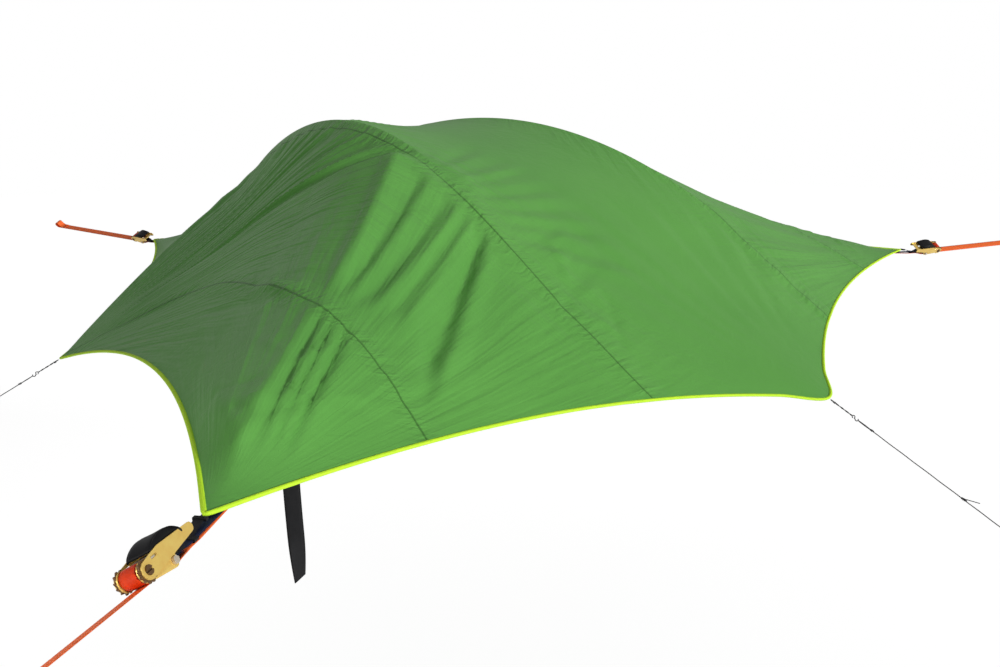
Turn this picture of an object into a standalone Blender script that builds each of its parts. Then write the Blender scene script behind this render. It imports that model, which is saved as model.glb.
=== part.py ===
"""Three-person suspended tent, hung between three trees by ratchet straps.

Metres, +Z up. The origin is the middle of the three hanging points, at strap height.
The tail points along +Y, the door along -Y, and X = 0 is the mirror plane.
"""
import math

import bmesh
import bpy
import numpy as np
from mathutils import Matrix, Vector

# The tent's size: from its middle to each corner of the floor
FLOOR_R = 2.320

# Rain fly: how far its corners are held past the floor's corners and edges
FLY_CORNER_PAST_FLOOR = 0.047
GUY_CORNER_PAST_FLOOR = 0.418
FRONT_GUY_DROP = 0.212
SIDE_GUY_DROP = 0.172
HEM_INWARD = 0.145
HEM_RISE = 0.038
SIDE_HEM_RISE = 0.095
TAIL_HEM_HALF = 0.025
FLY_THICKNESS = 0.002
GUY_LINE_BULGE = 0.030
BINDING_R = 0.0045

# Pole arches: two vertical planes that draw together towards the tail
ARCH_ASIDE = 0.830
ARCH_STARTS_PAST_FLOOR = 0.258
ARCH_AIM_SHORT_OF_TAIL = 0.220
ARCH_SHORTER_THAN_FLOOR = 0.590
ARCH_RISES_AFTER = 0.275
RIDGE_HEIGHT = 0.680
FLY_LEAVES_POLE_AT_FRONT = 0.365
FLY_LEAVES_POLE_AT_TAIL = 0.565
FRONT_HEM_Z = -0.030
POLE_R = 0.00525
FERRULE_R = 0.0060
FERRULE_LENGTH = 0.045
POLE_SECTIONS = 6
FLY_ABOVE_POLE = 0.018

# Floor, hatch and inner tent
FLOOR_SAG = 0.025
FLOOR_TOP = -0.002
FLOOR_THICKNESS = 0.004
FLOOR_CORNER_CUT = 0.060
HATCH_LENGTH = 0.520
HATCH_WIDTH = 0.420
HATCH_CORNER_R = 0.060
HATCH_CLEARANCE = 0.0005
CANOPY_THICKNESS = 0.0015
CANOPY_INSET = 0.140
CANOPY_SHORT_OF_TAIL = 0.735
DOOR_ROLL_R = 0.022

# Webbing
STRAP_WIDTH = 0.035
STRAP_THICKNESS = 0.0025
CORNER_WEB_THICKNESS = 0.003
CORNER_WEB_UNDER_FLOOR = 0.380
TIE_WIDTH = 0.020
TIE_THICKNESS = 0.0016
TAIL_UNDER_FLOOR = 0.210
HANGING_STRAP_INSIDE_CORNER = 0.348
HANGING_STRAP_WIDTH = 0.038
HANGING_STRAP_THICKNESS = 0.0022
HANGING_STRAP_LENGTH = 0.330
STRAP_LOOP_R = 0.017
STRAP_TWIST_ROWS = 9

# Ratchet, measured from its mandrel's axis: x along the strap, y across it
RATCHET_PAST_FLOOR = 0.280
RATCHET_INSIDE = 0.038
FRAME_PLATE = 0.0025
FRAME_END_R = 0.0185
BOLT_X = -0.070
BOLT_Z = -0.018
BOLT_END_R = 0.012
BOLT_R = 0.004
NUT_R = 0.0078
NUT_THICKNESS = 0.006
WHEEL_TEETH = 12
WHEEL_TIP_R = 0.0210
WHEEL_ROOT_R = 0.0172
WHEEL_THICKNESS = 0.0036
MANDREL_R = 0.0085
MANDREL_SLOT = 0.0035
STRAP_ROLL_R = 0.0190
HANDLE_LENGTH = 0.150
HANDLE_PLATE = 0.0025
HANDLE_HUB_R = 0.0160
HANDLE_TIP_R = 0.0090
HANDLE_LIFT = math.radians(1.0)
GRIP_THICKNESS = 0.003
PAWL_THICKNESS = 0.003
PAWL_LENGTH = 0.020
PAWL_TAB_LENGTH = 0.012
PAWL_TRAVEL = 0.006
LOCK_PAWL_Z = 0.0005
DRIVE_PAWL_Z = 0.0100

# Guy lines
GUY_SLOPE = 0.556
GUY_CORD_R = 0.0017
GUY_LEADER_R = 0.0022
GUY_KNOT_SCALE = 2.0
HOOK_WIRE_R = 0.0015
HOOK_EYE_R = 0.0045
HOOK_BEND_R = 0.0050
HOOK_REACH = 0.0125
GUY_LEADER_END = 0.092

# How finely the sheets are divided
TAIL_ROWS = 8
POLE_ROWS = 9
FRONT_ROWS = 3
INNER_COLUMNS = 4
OUTER_COLUMNS = 8
CANOPY_ROWS = 12
RELAX_STEPS = 900

# Gap kept between pieces that touch, and the running fit of turning pieces
SEAT = 0.0003
RUNNING = 0.0004

BEARINGS = {"tail": 0.0, "left": -120.0, "right": 120.0}
TREE_STRAP_LENGTHS = {"tail": 0.940, "left": 0.410, "right": 0.580}
RATCHET_ROLLS = {"tail": math.radians(-32.0), "left": math.radians(29.0), "right": math.radians(34.0)}
GUYS = {"front": (180.0, FRONT_GUY_DROP, 0.575), "left": (-60.0, SIDE_GUY_DROP, 0.255),
        "right": (60.0, SIDE_GUY_DROP, 0.255)}


def start_collections():
    """Empties the file and makes one collection for the tent and one for its cutters."""
    for old in list(bpy.data.objects):
        bpy.data.objects.remove(old, do_unlink=True)
    made = []
    for name in ("suspended_tent", "cutters"):
        group = bpy.data.collections.new(name)
        bpy.context.scene.collection.children.link(group)
        made.append(group)
    return made


TENT, CUTTERS = start_collections()


def material(name, colour, roughness, metallic=0.0):
    made = bpy.data.materials.new(name)
    made.use_nodes = True
    shader = made.node_tree.nodes["Principled BSDF"]
    shader.inputs["Base Color"].default_value = (*colour, 1.0)
    shader.inputs["Roughness"].default_value = roughness
    shader.inputs["Metallic"].default_value = metallic
    made.diffuse_color = (*colour, 1.0)
    return made


GREEN_FLY = material("green_fly", (0.10, 0.27, 0.10), 0.45)
LIME_BINDING = material("lime_binding", (0.62, 0.95, 0.06), 0.6)
BLACK_MESH = material("black_mesh", (0.02, 0.02, 0.022), 0.8)
GREY_FLOOR = material("grey_floor", (0.10, 0.11, 0.12), 0.7)
POLE_METAL = material("pole_alloy", (0.72, 0.73, 0.75), 0.35, 1.0)
NAVY_WEBBING = material("navy_webbing", (0.02, 0.03, 0.10), 0.7)
BLACK_WEBBING = material("black_webbing", (0.012, 0.012, 0.013), 0.75)
ORANGE_WEBBING = material("orange_webbing", (0.90, 0.20, 0.05), 0.6)
GOLD_ZINC = material("gold_zinc", (0.76, 0.55, 0.24), 0.35, 1.0)
BRIGHT_ZINC = material("bright_zinc", (0.66, 0.64, 0.60), 0.35, 1.0)
BLACK_PLASTIC = material("black_plastic", (0.015, 0.015, 0.016), 0.5)
BLACK_CORD = material("black_cord", (0.015, 0.015, 0.015), 0.8)
DARK_WIRE = material("dark_wire", (0.05, 0.05, 0.055), 0.4, 1.0)


def weld(mesh, distance=1e-6):
    """Merges points that lie together and turns the faces outwards."""
    shape = bmesh.new()
    shape.from_mesh(mesh)
    bmesh.ops.remove_doubles(shape, verts=shape.verts, dist=distance)
    bmesh.ops.recalc_face_normals(shape, faces=shape.faces)
    shape.to_mesh(mesh)
    shape.free()
    return mesh


def evaluated_mesh(thing):
    """The object's final mesh with its modifiers, after which the object is removed."""
    bpy.context.view_layer.update()
    graph = bpy.context.evaluated_depsgraph_get()
    made = bpy.data.meshes.new_from_object(thing.evaluated_get(graph))
    made.transform(thing.matrix_world)
    bpy.data.objects.remove(thing, do_unlink=True)
    return weld(made)


def place(name, mesh, finish, matrix=None):
    """One named piece of the tent."""
    mesh.materials.clear()
    mesh.materials.append(finish)
    mesh.shade_smooth()
    mesh.set_sharp_from_angle(angle=math.radians(35.0))
    thing = bpy.data.objects.new(name, mesh)
    TENT.objects.link(thing)
    if matrix is not None:
        thing.matrix_world = matrix
    return thing


def cutter(mesh):
    """A guide body that a Boolean reads."""
    thing = bpy.data.objects.new("cutter", mesh)
    CUTTERS.objects.link(thing)
    thing.hide_render = True
    thing.display_type = "WIRE"
    return thing


def combine(mesh, others, operation="UNION"):
    """The mesh joined with, or cut by, each of the others."""
    base = cutter(mesh)
    guides = [cutter(other) for other in others]
    for guide in guides:
        step = base.modifiers.new(operation.lower(), "BOOLEAN")
        step.operation = operation
        step.object = guide
    made = evaluated_mesh(base)
    for guide in guides:
        bpy.data.objects.remove(guide, do_unlink=True)
    return made


def slab(outlines, thickness):
    """A flat outline, with any holes, given a thickness about Z = 0."""
    data = bpy.data.curves.new("outline", "CURVE")
    data.dimensions = "2D"
    data.fill_mode = "BOTH"
    data.extrude = thickness / 2
    for outline in outlines:
        line = data.splines.new("POLY")
        line.points.add(len(outline) - 1)
        for point, (across, up) in zip(line.points, outline):
            point.co = (across, up, 0.0, 1.0)
        line.use_cyclic_u = True
    thing = bpy.data.objects.new("outline", data)
    CUTTERS.objects.link(thing)
    made = evaluated_mesh(thing)
    bpy.data.curves.remove(data)
    return made


UPRIGHT = Matrix.Rotation(math.radians(90.0), 4, "X")


def upright(outlines, thickness, y=0.0):
    """A slab whose outline stands in the XZ plane, with its middle at the given Y."""
    made = slab(outlines, thickness)
    made.transform(Matrix.Translation((0.0, y, 0.0)) @ UPRIGHT)
    return made


def block(low, high):
    """A box between two corners."""
    low, high = Vector(low), Vector(high)
    made = bpy.data.meshes.new("block")
    shape = bmesh.new()
    size = high - low
    bmesh.ops.create_cube(shape, size=1.0,
                          matrix=Matrix.Translation((low + high) / 2) @ Matrix.Diagonal((*size, 1.0)))
    shape.to_mesh(made)
    shape.free()
    return made


def rod(radius, low_y, high_y, sides=16, at=(0.0, 0.0), turn=0.0):
    """A solid round or many-sided rod along Y, centred at (x, z)."""
    made = bpy.data.meshes.new("rod")
    shape = bmesh.new()
    matrix = (Matrix.Translation((at[0], (low_y + high_y) / 2, at[1])) @ UPRIGHT
              @ Matrix.Rotation(turn, 4, "Z"))
    bmesh.ops.create_cone(shape, cap_ends=True, segments=sides, radius1=radius, radius2=radius,
                          depth=high_y - low_y, matrix=matrix)
    shape.to_mesh(made)
    shape.free()
    return made


def circle(x, y, radius, sides=20, start=0.0):
    """Points of a circle in the outline's plane."""
    return [(x + radius * math.cos(start + 2 * math.pi * k / sides),
             y + radius * math.sin(start + 2 * math.pi * k / sides)) for k in range(sides)]


def hull(points):
    """The convex outline round a set of points, anticlockwise."""
    ordered = sorted(set(points))

    def half(run):
        chain = []
        for point in run:
            while len(chain) > 1:
                (ax, ay), (bx, by) = chain[-2], chain[-1]
                if (bx - ax) * (point[1] - ay) - (by - ay) * (point[0] - ax) > 1e-12:
                    break
                chain.pop()
            chain.append(point)
        return chain[:-1]

    return half(ordered) + half(ordered[::-1])


def rounded_box(low_x, high_x, low_y, high_y, radius, sides=16):
    corners = [(x, y) for x in (low_x + radius, high_x - radius)
               for y in (low_y + radius, high_y - radius)]
    return hull([point for x, y in corners for point in circle(x, y, radius, sides)])


def tube(name, points, radius, finish, scales=None, resolution=2, cyclic=False):
    """A round tube along a run of points, kept as a curve object."""
    data = bpy.data.curves.new(name, "CURVE")
    data.dimensions = "3D"
    data.bevel_depth = radius
    data.bevel_resolution = resolution
    data.use_fill_caps = not cyclic
    line = data.splines.new("POLY")
    line.points.add(len(points) - 1)
    for index, (point, where) in enumerate(zip(line.points, points)):
        point.co = (*where, 1.0)
        point.radius = scales[index] if scales is not None else 1.0
    line.use_cyclic_u = cyclic
    thing = bpy.data.objects.new(name, data)
    data.materials.append(finish)
    TENT.objects.link(thing)
    return thing


def bearing_point(radius, bearing, height=0.0):
    """A point at a radius and a compass bearing from +Y, clockwise."""
    turn = math.radians(bearing)
    return np.array([radius * math.sin(turn), radius * math.cos(turn), height])


def corner_frame(bearing, radius=0.0):
    """Local X points outwards along the bearing and local Z up."""
    out = bearing_point(1.0, bearing)
    side = np.cross([0.0, 0.0, 1.0], out)
    matrix = Matrix.Identity(4)
    matrix.col[0][:3] = out
    matrix.col[1][:3] = side
    matrix.col[3][:3] = bearing_point(radius, bearing)
    return matrix


# Sheets

BODY_ROWS = POLE_ROWS + FRONT_ROWS
FLY_CORNER_R = FLOOR_R + FLY_CORNER_PAST_FLOOR
GUY_CORNER_R = FLOOR_R / 2 + GUY_CORNER_PAST_FLOOR
RATCHET_R = FLOOR_R + RATCHET_PAST_FLOOR
ARCH_HALF = (1.5 * FLOOR_R - ARCH_SHORTER_THAN_FLOOR) / 2
ARCH_MIDDLE = ARCH_RISES_AFTER + ARCH_HALF
FLY_TOUCHES_FROM = ARCH_MIDDLE - ARCH_HALF + FLY_LEAVES_POLE_AT_FRONT
FLY_TOUCHES_TO = ARCH_MIDDLE + ARCH_HALF - FLY_LEAVES_POLE_AT_TAIL
FRONT_POINT = np.array([-ARCH_ASIDE, -FLOOR_R / 2 - ARCH_STARTS_PAST_FLOOR, FRONT_HEM_Z])
ARCH_AIM = np.array([0.0, FLOOR_R - ARCH_AIM_SHORT_OF_TAIL])
ALONG = np.array([*(ARCH_AIM - FRONT_POINT[:2]), 0.0])
ALONG /= np.linalg.norm(ALONG)
SIDEWAYS = np.array([ALONG[1], -ALONG[0], 0.0])

TAIL_CORNER = bearing_point(FLY_CORNER_R, BEARINGS["tail"])
LEFT_CORNER = bearing_point(FLY_CORNER_R, BEARINGS["left"])
FRONT_GUY = bearing_point(GUY_CORNER_R, GUYS["front"][0], -FRONT_GUY_DROP)
LEFT_GUY = bearing_point(GUY_CORNER_R, GUYS["left"][0], -SIDE_GUY_DROP)


def arch(distance, lowered=0.0):
    """Points of the left arch: a parabola in its vertical plane, from its front line."""
    distance = np.atleast_1d(np.asarray(distance, float))
    points = FRONT_POINT * [1, 1, 0] + distance[:, None] * ALONG
    points[:, 2] = RIDGE_HEIGHT * (1 - ((distance - ARCH_MIDDLE) / ARCH_HALF) ** 2) - lowered
    return points


def hem(start, end, share, inward, rise):
    """A chord that sags inwards and up, most at its middle."""
    share = np.asarray(share, float)[:, None]
    middle = -(start + end) / 2 * [1, 1, 0]
    middle /= np.linalg.norm(middle)
    sag = inward * middle + np.array([0.0, 0.0, rise])
    return start + (end - start) * share + 4 * share * (1 - share) * sag


def relaxed(grid, fixed, along, across, slanting):
    """A stretched sheet: each free point settles at its neighbours' weighted mean.

    The first column lies on the mirror plane, so its left neighbour is a reflection.
    """
    along, across, slanting = (weight[..., None] for weight in (along, across, slanting))
    total = 2 * (along + across + slanting)
    for _ in range(RELAX_STEPS):
        wide = np.pad(grid, ((1, 1), (1, 1), (0, 0)), mode="edge")
        wide[1:-1, 0] = grid[:, 1] * [-1, 1, 1]
        pull = (along * (wide[:-2, 1:-1] + wide[2:, 1:-1])
                + across * (wide[1:-1, :-2] + wide[1:-1, 2:])
                + slanting * (wide[:-2, :-2] + wide[2:, 2:]))
        grid = np.where(fixed[..., None], grid, pull / total)
    return grid


def blank_sheet(middle, ridge, edge):
    """Straight rows from the middle line to the ridge and on to the edge."""
    inner = (np.arange(INNER_COLUMNS + 1) / INNER_COLUMNS)[None, :, None]
    outer = (np.arange(1, OUTER_COLUMNS + 1) / OUTER_COLUMNS)[None, :, None]
    return np.concatenate([middle[:, None] + (ridge - middle)[:, None] * inner,
                           ridge[:, None] + (edge - ridge)[:, None] * outer], 1)


def front_split(line):
    """Where along a front edge, from 0 to 1, the arch's plane crosses it."""
    return float(np.abs((line - FRONT_POINT) @ SIDEWAYS).argmin()) / (len(line) - 1)


def split_shares(split):
    """Shares along a front edge: the inner columns end at the split."""
    return np.concatenate([np.linspace(0, split, INNER_COLUMNS + 1),
                           np.linspace(split, 1, OUTER_COLUMNS + 1)[1:]])


def fly_grid():
    """The left half of the rain fly, from tail to front and from the middle outwards."""
    rows = TAIL_ROWS + BODY_ROWS
    tail_distance = (TAIL_CORNER - FRONT_POINT) @ ALONG
    distance = np.concatenate([np.linspace(tail_distance, FLY_TOUCHES_TO, TAIL_ROWS + 1),
                               np.linspace(FLY_TOUCHES_TO, FLY_TOUCHES_FROM, POLE_ROWS + 1)[1:],
                               np.linspace(FLY_TOUCHES_FROM, 0, FRONT_ROWS + 1)[1:]])
    ridge = arch(distance)
    lift_off, touch_down = arch([FLY_TOUCHES_FROM, FLY_TOUCHES_TO])
    front = distance < FLY_TOUCHES_FROM
    tail = distance > FLY_TOUCHES_TO
    ridge[front] = FRONT_POINT + (lift_off - FRONT_POINT) * (distance[front] / FLY_TOUCHES_FROM)[:, None]
    share = (distance[tail] - FLY_TOUCHES_TO) / (tail_distance - FLY_TOUCHES_TO)
    ridge[tail] = touch_down + (TAIL_CORNER - touch_down) * share[:, None]
    ridge[TAIL_ROWS - 1] = arch(distance[TAIL_ROWS - 1])[0]
    split = front_split(hem(FRONT_GUY, LEFT_CORNER, np.linspace(0, 1, 401), HEM_INWARD, HEM_RISE))
    front_hem = hem(FRONT_GUY, LEFT_CORNER, split_shares(split), HEM_INWARD, HEM_RISE)
    tail_end = TAIL_CORNER - [TAIL_HEM_HALF, 0, 0]
    side_hem = np.concatenate([
        hem(tail_end, LEFT_GUY, np.linspace(0, 1, TAIL_ROWS + 1) ** 1.25, HEM_INWARD, HEM_RISE),
        hem(LEFT_GUY, LEFT_CORNER, np.linspace(0, 1, BODY_ROWS + 1), HEM_INWARD, SIDE_HEM_RISE)[1:]])
    share = np.linspace(0, 1, rows + 1)[:, None]
    middle = TAIL_CORNER + (FRONT_GUY - TAIL_CORNER) * share
    middle[:, 2] += 0.8 * RIDGE_HEIGHT * np.sin(np.pi * share[:, 0])
    grid = blank_sheet(middle, ridge, side_hem)
    columns = INNER_COLUMNS + OUTER_COLUMNS
    grid[0] = TAIL_CORNER - np.outer(np.linspace(0, TAIL_HEM_HALF, columns + 1), [1, 0, 0])
    grid[-1] = front_hem
    fixed = np.zeros(grid.shape[:2], bool)
    fixed[0] = fixed[-1] = fixed[:, -1] = True
    fixed[(distance >= FLY_TOUCHES_FROM) & (distance <= distance[TAIL_ROWS - 1]), INNER_COLUMNS] = True
    share = np.linspace(0, 1, OUTER_COLUMNS + 1)[:, None]
    stay = ridge[TAIL_ROWS] + (LEFT_GUY - ridge[TAIL_ROWS]) * share
    stay[:, 2] += GUY_LINE_BULGE * 4 * (share * (1 - share))[:, 0]
    grid[TAIL_ROWS, INNER_COLUMNS:] = stay
    fixed[TAIL_ROWS, INNER_COLUMNS:] = True
    along = np.ones(fixed.shape)
    across = np.ones(fixed.shape)
    slanting = np.zeros(fixed.shape)
    along[:, :INNER_COLUMNS] = 0.25
    across[:, :INNER_COLUMNS] = 2.0
    across[1:4, INNER_COLUMNS + 1:] = 8.0
    slanting[TAIL_ROWS:, INNER_COLUMNS + 1:] = 4.0
    return relaxed(grid, fixed, along, across, slanting)


def floor_edge(radius, start_bearing, end_bearing, share, height):
    """The slack edge of the floor, or of a smaller sheet on it, between two corners."""
    start = bearing_point(radius, start_bearing, height)
    end = bearing_point(radius, end_bearing, height)
    return hem(start, end, share, FLOOR_SAG, 0.0)


def canopy_grid():
    """The left half of the inner tent, whose lower edge stands on the floor."""
    height = FLOOR_TOP + SEAT + CANOPY_THICKNESS / 2
    radius = FLOOR_R - CANOPY_INSET
    tail_share = (CANOPY_SHORT_OF_TAIL - CANOPY_INSET) / (1.5 * radius)
    side = floor_edge(radius, BEARINGS["tail"], BEARINGS["left"],
                      np.linspace(tail_share, 1, CANOPY_ROWS + 1), height)
    whole_front = floor_edge(radius, BEARINGS["left"], BEARINGS["right"], np.linspace(0.5, 0, 401), height)
    split = front_split(whole_front)
    front = floor_edge(radius, BEARINGS["left"], BEARINGS["right"], 0.5 - 0.5 * split_shares(split), height)
    tail_y = side[0][1]
    ends = [(tail_y - FRONT_POINT[1]) / ALONG[1], (front[INNER_COLUMNS][1] - FRONT_POINT[1]) / ALONG[1]]
    ridge = arch(np.linspace(*ends, CANOPY_ROWS + 1),
                 FLY_ABOVE_POLE + FERRULE_R + SEAT + CANOPY_THICKNESS)
    ridge[0][2] = ridge[-1][2] = height
    middle = ridge * [0, 1, 1]
    grid = blank_sheet(middle, ridge, side)
    grid[0] = blank_sheet(ridge[:1] * [0, 1, 1], ridge[:1], side[:1])[0]
    grid[-1] = front
    fixed = np.zeros(grid.shape[:2], bool)
    fixed[0] = fixed[-1] = fixed[:, -1] = fixed[:, INNER_COLUMNS] = True
    even = np.ones(fixed.shape)
    across = even.copy()
    across[:, :INNER_COLUMNS] = 2.0
    return relaxed(grid, fixed, even, across, 0 * even)


def sheet_mesh(name, grid, thickness, finish, is_open=lambda row, column: False):
    """A half sheet as quads, mirrored across X = 0 and given its thickness."""
    rows, columns = grid.shape[:2]
    quads = [(r * columns + c, r * columns + c + 1, (r + 1) * columns + c + 1, (r + 1) * columns + c)
             for r in range(rows - 1) for c in range(columns - 1) if not is_open(r, c)]
    mesh = bpy.data.meshes.new(name)
    mesh.from_pydata(grid.reshape(-1, 3).tolist(), [], quads)
    shape = bmesh.new()
    shape.from_mesh(mesh)
    loose = [point for point in shape.verts if not point.link_faces]
    bmesh.ops.delete(shape, geom=loose, context="VERTS")
    shape.to_mesh(mesh)
    shape.free()
    thing = bpy.data.objects.new(name, mesh)
    CUTTERS.objects.link(thing)
    mirror = thing.modifiers.new("mirror", "MIRROR")
    mirror.merge_threshold = 0.0001
    wall = thing.modifiers.new("wall", "SOLIDIFY")
    wall.thickness = thickness
    wall.offset = 0.0
    return place(name, evaluated_mesh(thing), finish)


def unit(vectors):
    return vectors / np.linalg.norm(vectors, axis=-1, keepdims=True)


def binding_path(grid):
    """The middle line of the tape round the hem, rounded outside each corner."""
    edge = np.concatenate([grid[:1, 0], grid[:, -1], grid[-1, -2::-1]])
    edge = np.concatenate([edge, (edge * [-1, 1, 1])[-2:0:-1]])
    outwards = unit(np.cross(np.roll(edge, -1, 0) - edge, [0.0, 0.0, 1.0]))
    offset = BINDING_R + FLY_THICKNESS / 2 + SEAT
    path = []
    for point, before, after in zip(edge, np.roll(outwards, 1, 0), outwards):
        turn = math.acos(float(np.clip(before @ after, -1.0, 1.0)))
        steps = round(turn / math.radians(30.0))
        for share in (np.arange(steps + 1) / steps if steps > 1 else [0.5]):
            path.append(point + offset * unit(before * (1 - share) + after * share))
    return path


FLY = fly_grid()
CANOPY = canopy_grid()
DOOR_TOP = CANOPY_ROWS - 5
DOOR_SILL = CANOPY_ROWS - 1
DOOR_COLUMNS = INNER_COLUMNS - 1


def in_doorway(row, column):
    return DOOR_TOP <= row < DOOR_SILL and column < DOOR_COLUMNS


def make_sheets():
    """Rain fly with its lime tape, mesh inner tent and its rolled-up door."""
    sheet_mesh("rain_fly", FLY, FLY_THICKNESS, GREEN_FLY)
    tube("fly_binding", binding_path(FLY), BINDING_R, LIME_BINDING, resolution=1, cyclic=True)
    sheet_mesh("inner_canopy", CANOPY, CANOPY_THICKNESS, BLACK_MESH, in_doorway)
    top = CANOPY[DOOR_TOP, :DOOR_COLUMNS + 1]
    below = CANOPY[DOOR_TOP + 1, :DOOR_COLUMNS + 1]
    centre = top + unit(below - top) * (DOOR_ROLL_R - SEAT)
    centre[-1] = centre[-2] + (centre[-1] - centre[-2]) * 0.7
    line = np.concatenate([(centre * [-1, 1, 1])[:0:-1], centre])
    tube("door_roll", line, DOOR_ROLL_R, BLACK_MESH, resolution=2)


def make_floor():
    """The taut floor with its hatch, a flap that hangs from its tail-side edge."""
    cut = FLOOR_CORNER_CUT / (math.sqrt(3.0) * FLOOR_R)
    outline = []
    for start, end in (("tail", "left"), ("left", "right"), ("right", "tail")):
        side = floor_edge(FLOOR_R, BEARINGS[start], BEARINGS[end], np.linspace(cut, 1 - cut, 13), 0.0)
        outline += [(float(x), float(y)) for x, y, _ in side]
    half_x, half_y = HATCH_WIDTH / 2, HATCH_LENGTH / 2
    opening = rounded_box(-half_x, half_x, -half_y, half_y, HATCH_CORNER_R)
    less = HATCH_CLEARANCE
    flap = rounded_box(less - half_x, half_x - less, less - half_y, half_y - less, HATCH_CORNER_R - less)
    level = Matrix.Translation((0.0, 0.0, FLOOR_TOP - FLOOR_THICKNESS / 2))
    for name, shapes in (("tent_floor", [outline, opening]), ("floor_hatch", [flap])):
        mesh = slab(shapes, FLOOR_THICKNESS)
        mesh.transform(level)
        place(name, mesh, GREY_FLOOR)
    body = slab([rounded_box(-0.007, 0.007, -0.006, 0.006, 0.003)], 0.005)
    pull = slab([rounded_box(-0.003, 0.003, -0.030, -0.003, 0.0025)], 0.0015)
    slider = combine(body, [pull])
    seat = FLOOR_TOP + SEAT + 0.005 / 2
    slider.transform(Matrix.Translation((-half_x + 0.09, -half_y, seat)))
    place("hatch_slider", slider, BLACK_PLASTIC)


def make_poles():
    """Two bent alloy poles of plugged sections, standing on the floor at both ends."""
    slope = 2 * RIDGE_HEIGHT / ARCH_HALF
    end_drop = POLE_R / math.hypot(1.0, slope)
    foot_height = FLOOR_TOP + SEAT + end_drop + FLY_ABOVE_POLE
    reach = ARCH_HALF * math.sqrt(1 - foot_height / RIDGE_HEIGHT)
    stops = list(np.linspace(-reach, reach, 27))
    scales = {stop: 1.0 for stop in stops}
    for joint in range(1, POLE_SECTIONS):
        middle = -reach + 2 * reach * joint / POLE_SECTIONS
        run = FERRULE_LENGTH / 2 / math.hypot(1.0, slope * middle / ARCH_HALF)
        for offset, scale in ((-run - 0.001, 1.0), (-run, FERRULE_R / POLE_R), (run, FERRULE_R / POLE_R),
                              (run + 0.001, 1.0)):
            scales[middle + offset] = scale
        scales = {at: scale for at, scale in scales.items()
                  if abs(at - middle) > run - 1e-9 or scale != 1.0}
    stops = sorted(scales)
    line = arch([ARCH_MIDDLE + stop for stop in stops], FLY_ABOVE_POLE)
    for name, flip in (("pole_left", 1), ("pole_right", -1)):
        tube(name, line * [flip, 1, 1], POLE_R, POLE_METAL, [scales[stop] for stop in stops], 1)


# Webbing

def band(centre, thickness):
    """The side outline of a strap laid along a run of (x, z) points."""
    centre = np.asarray(centre, float)
    run = unit(np.gradient(centre, axis=0))
    normal = np.stack([-run[:, 1], run[:, 0]], 1) * thickness / 2
    points = np.concatenate([centre + normal, (centre - normal)[::-1]])
    return [(float(x), float(z)) for x, z in points]


WEB_Z = FLOOR_TOP - FLOOR_THICKNESS - SEAT - CORNER_WEB_THICKNESS / 2
BOLT_EYE_R = BOLT_R + RUNNING
BOLT_WRAP_R = BOLT_EYE_R + CORNER_WEB_THICKNESS
FLOOR_WEB_END = FLOOR_R - 0.050
BOLT_AT = RATCHET_R + BOLT_X


def corner_web_mesh():
    """A flat strap sewn under the floor's corner, with a sewn eye round the anchor bolt."""
    half = CORNER_WEB_THICKNESS / 2
    web_start = FLOOR_R - CORNER_WEB_UNDER_FLOOR
    neck_x = BOLT_AT - 3.0 * BOLT_WRAP_R
    neck_z = BOLT_Z + (WEB_Z - BOLT_Z) * 0.15
    angles = np.radians(np.linspace(115, -115, 12))
    eye = [(BOLT_AT + BOLT_WRAP_R * math.cos(a), BOLT_Z + BOLT_WRAP_R * math.sin(a)) for a in angles]
    outline = ([(web_start, WEB_Z + half), (FLOOR_WEB_END, WEB_Z + half), (neck_x, neck_z + half)]
               + eye
               + [(neck_x, neck_z - half), (FLOOR_WEB_END, WEB_Z - half), (web_start, WEB_Z - half)])
    return upright([outline, circle(BOLT_AT, BOLT_Z, BOLT_EYE_R, 10)], STRAP_WIDTH)


def web_height(radius):
    """Height of the corner strap's middle between the floor and the bolt's eye."""
    neck_x = BOLT_AT - 3.0 * BOLT_WRAP_R
    neck_z = BOLT_Z + (WEB_Z - BOLT_Z) * 0.15
    share = (radius - FLOOR_WEB_END) / (neck_x - FLOOR_WEB_END)
    return WEB_Z + (neck_z - WEB_Z) * share


TIE_RING_R = FLY_CORNER_R + 0.070
TIE_RING_LENGTH = 0.016


def fly_tie_mesh():
    """Black webbing from the fly's corner to a sleeve round the corner strap."""
    low = web_height(TIE_RING_R + TIE_RING_LENGTH / 2) - CORNER_WEB_THICKNESS / 2 - 2 * SEAT
    high = web_height(TIE_RING_R - TIE_RING_LENGTH / 2) + CORNER_WEB_THICKNESS / 2 + 2 * SEAT
    inside = STRAP_WIDTH / 2 + 2 * SEAT
    outside = inside + TIE_THICKNESS
    sleeve = block((TIE_RING_R - TIE_RING_LENGTH / 2, -outside, low - TIE_THICKNESS),
                   (TIE_RING_R + TIE_RING_LENGTH / 2, outside, high + TIE_THICKNESS))
    bore = block((TIE_RING_R - TIE_RING_LENGTH, -inside, low), (TIE_RING_R + TIE_RING_LENGTH, inside, high))
    sleeve = combine(sleeve, [bore], "DIFFERENCE")
    start = FLY_CORNER_R + 2 * BINDING_R + FLY_THICKNESS / 2 + 2 * SEAT
    strap = band([(start, 0.0), (start + 0.012, 0.0),
                  (TIE_RING_R - TIE_RING_LENGTH / 4, high + TIE_THICKNESS / 2)], TIE_THICKNESS)
    return combine(sleeve, [upright([strap], TIE_WIDTH)])


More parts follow.
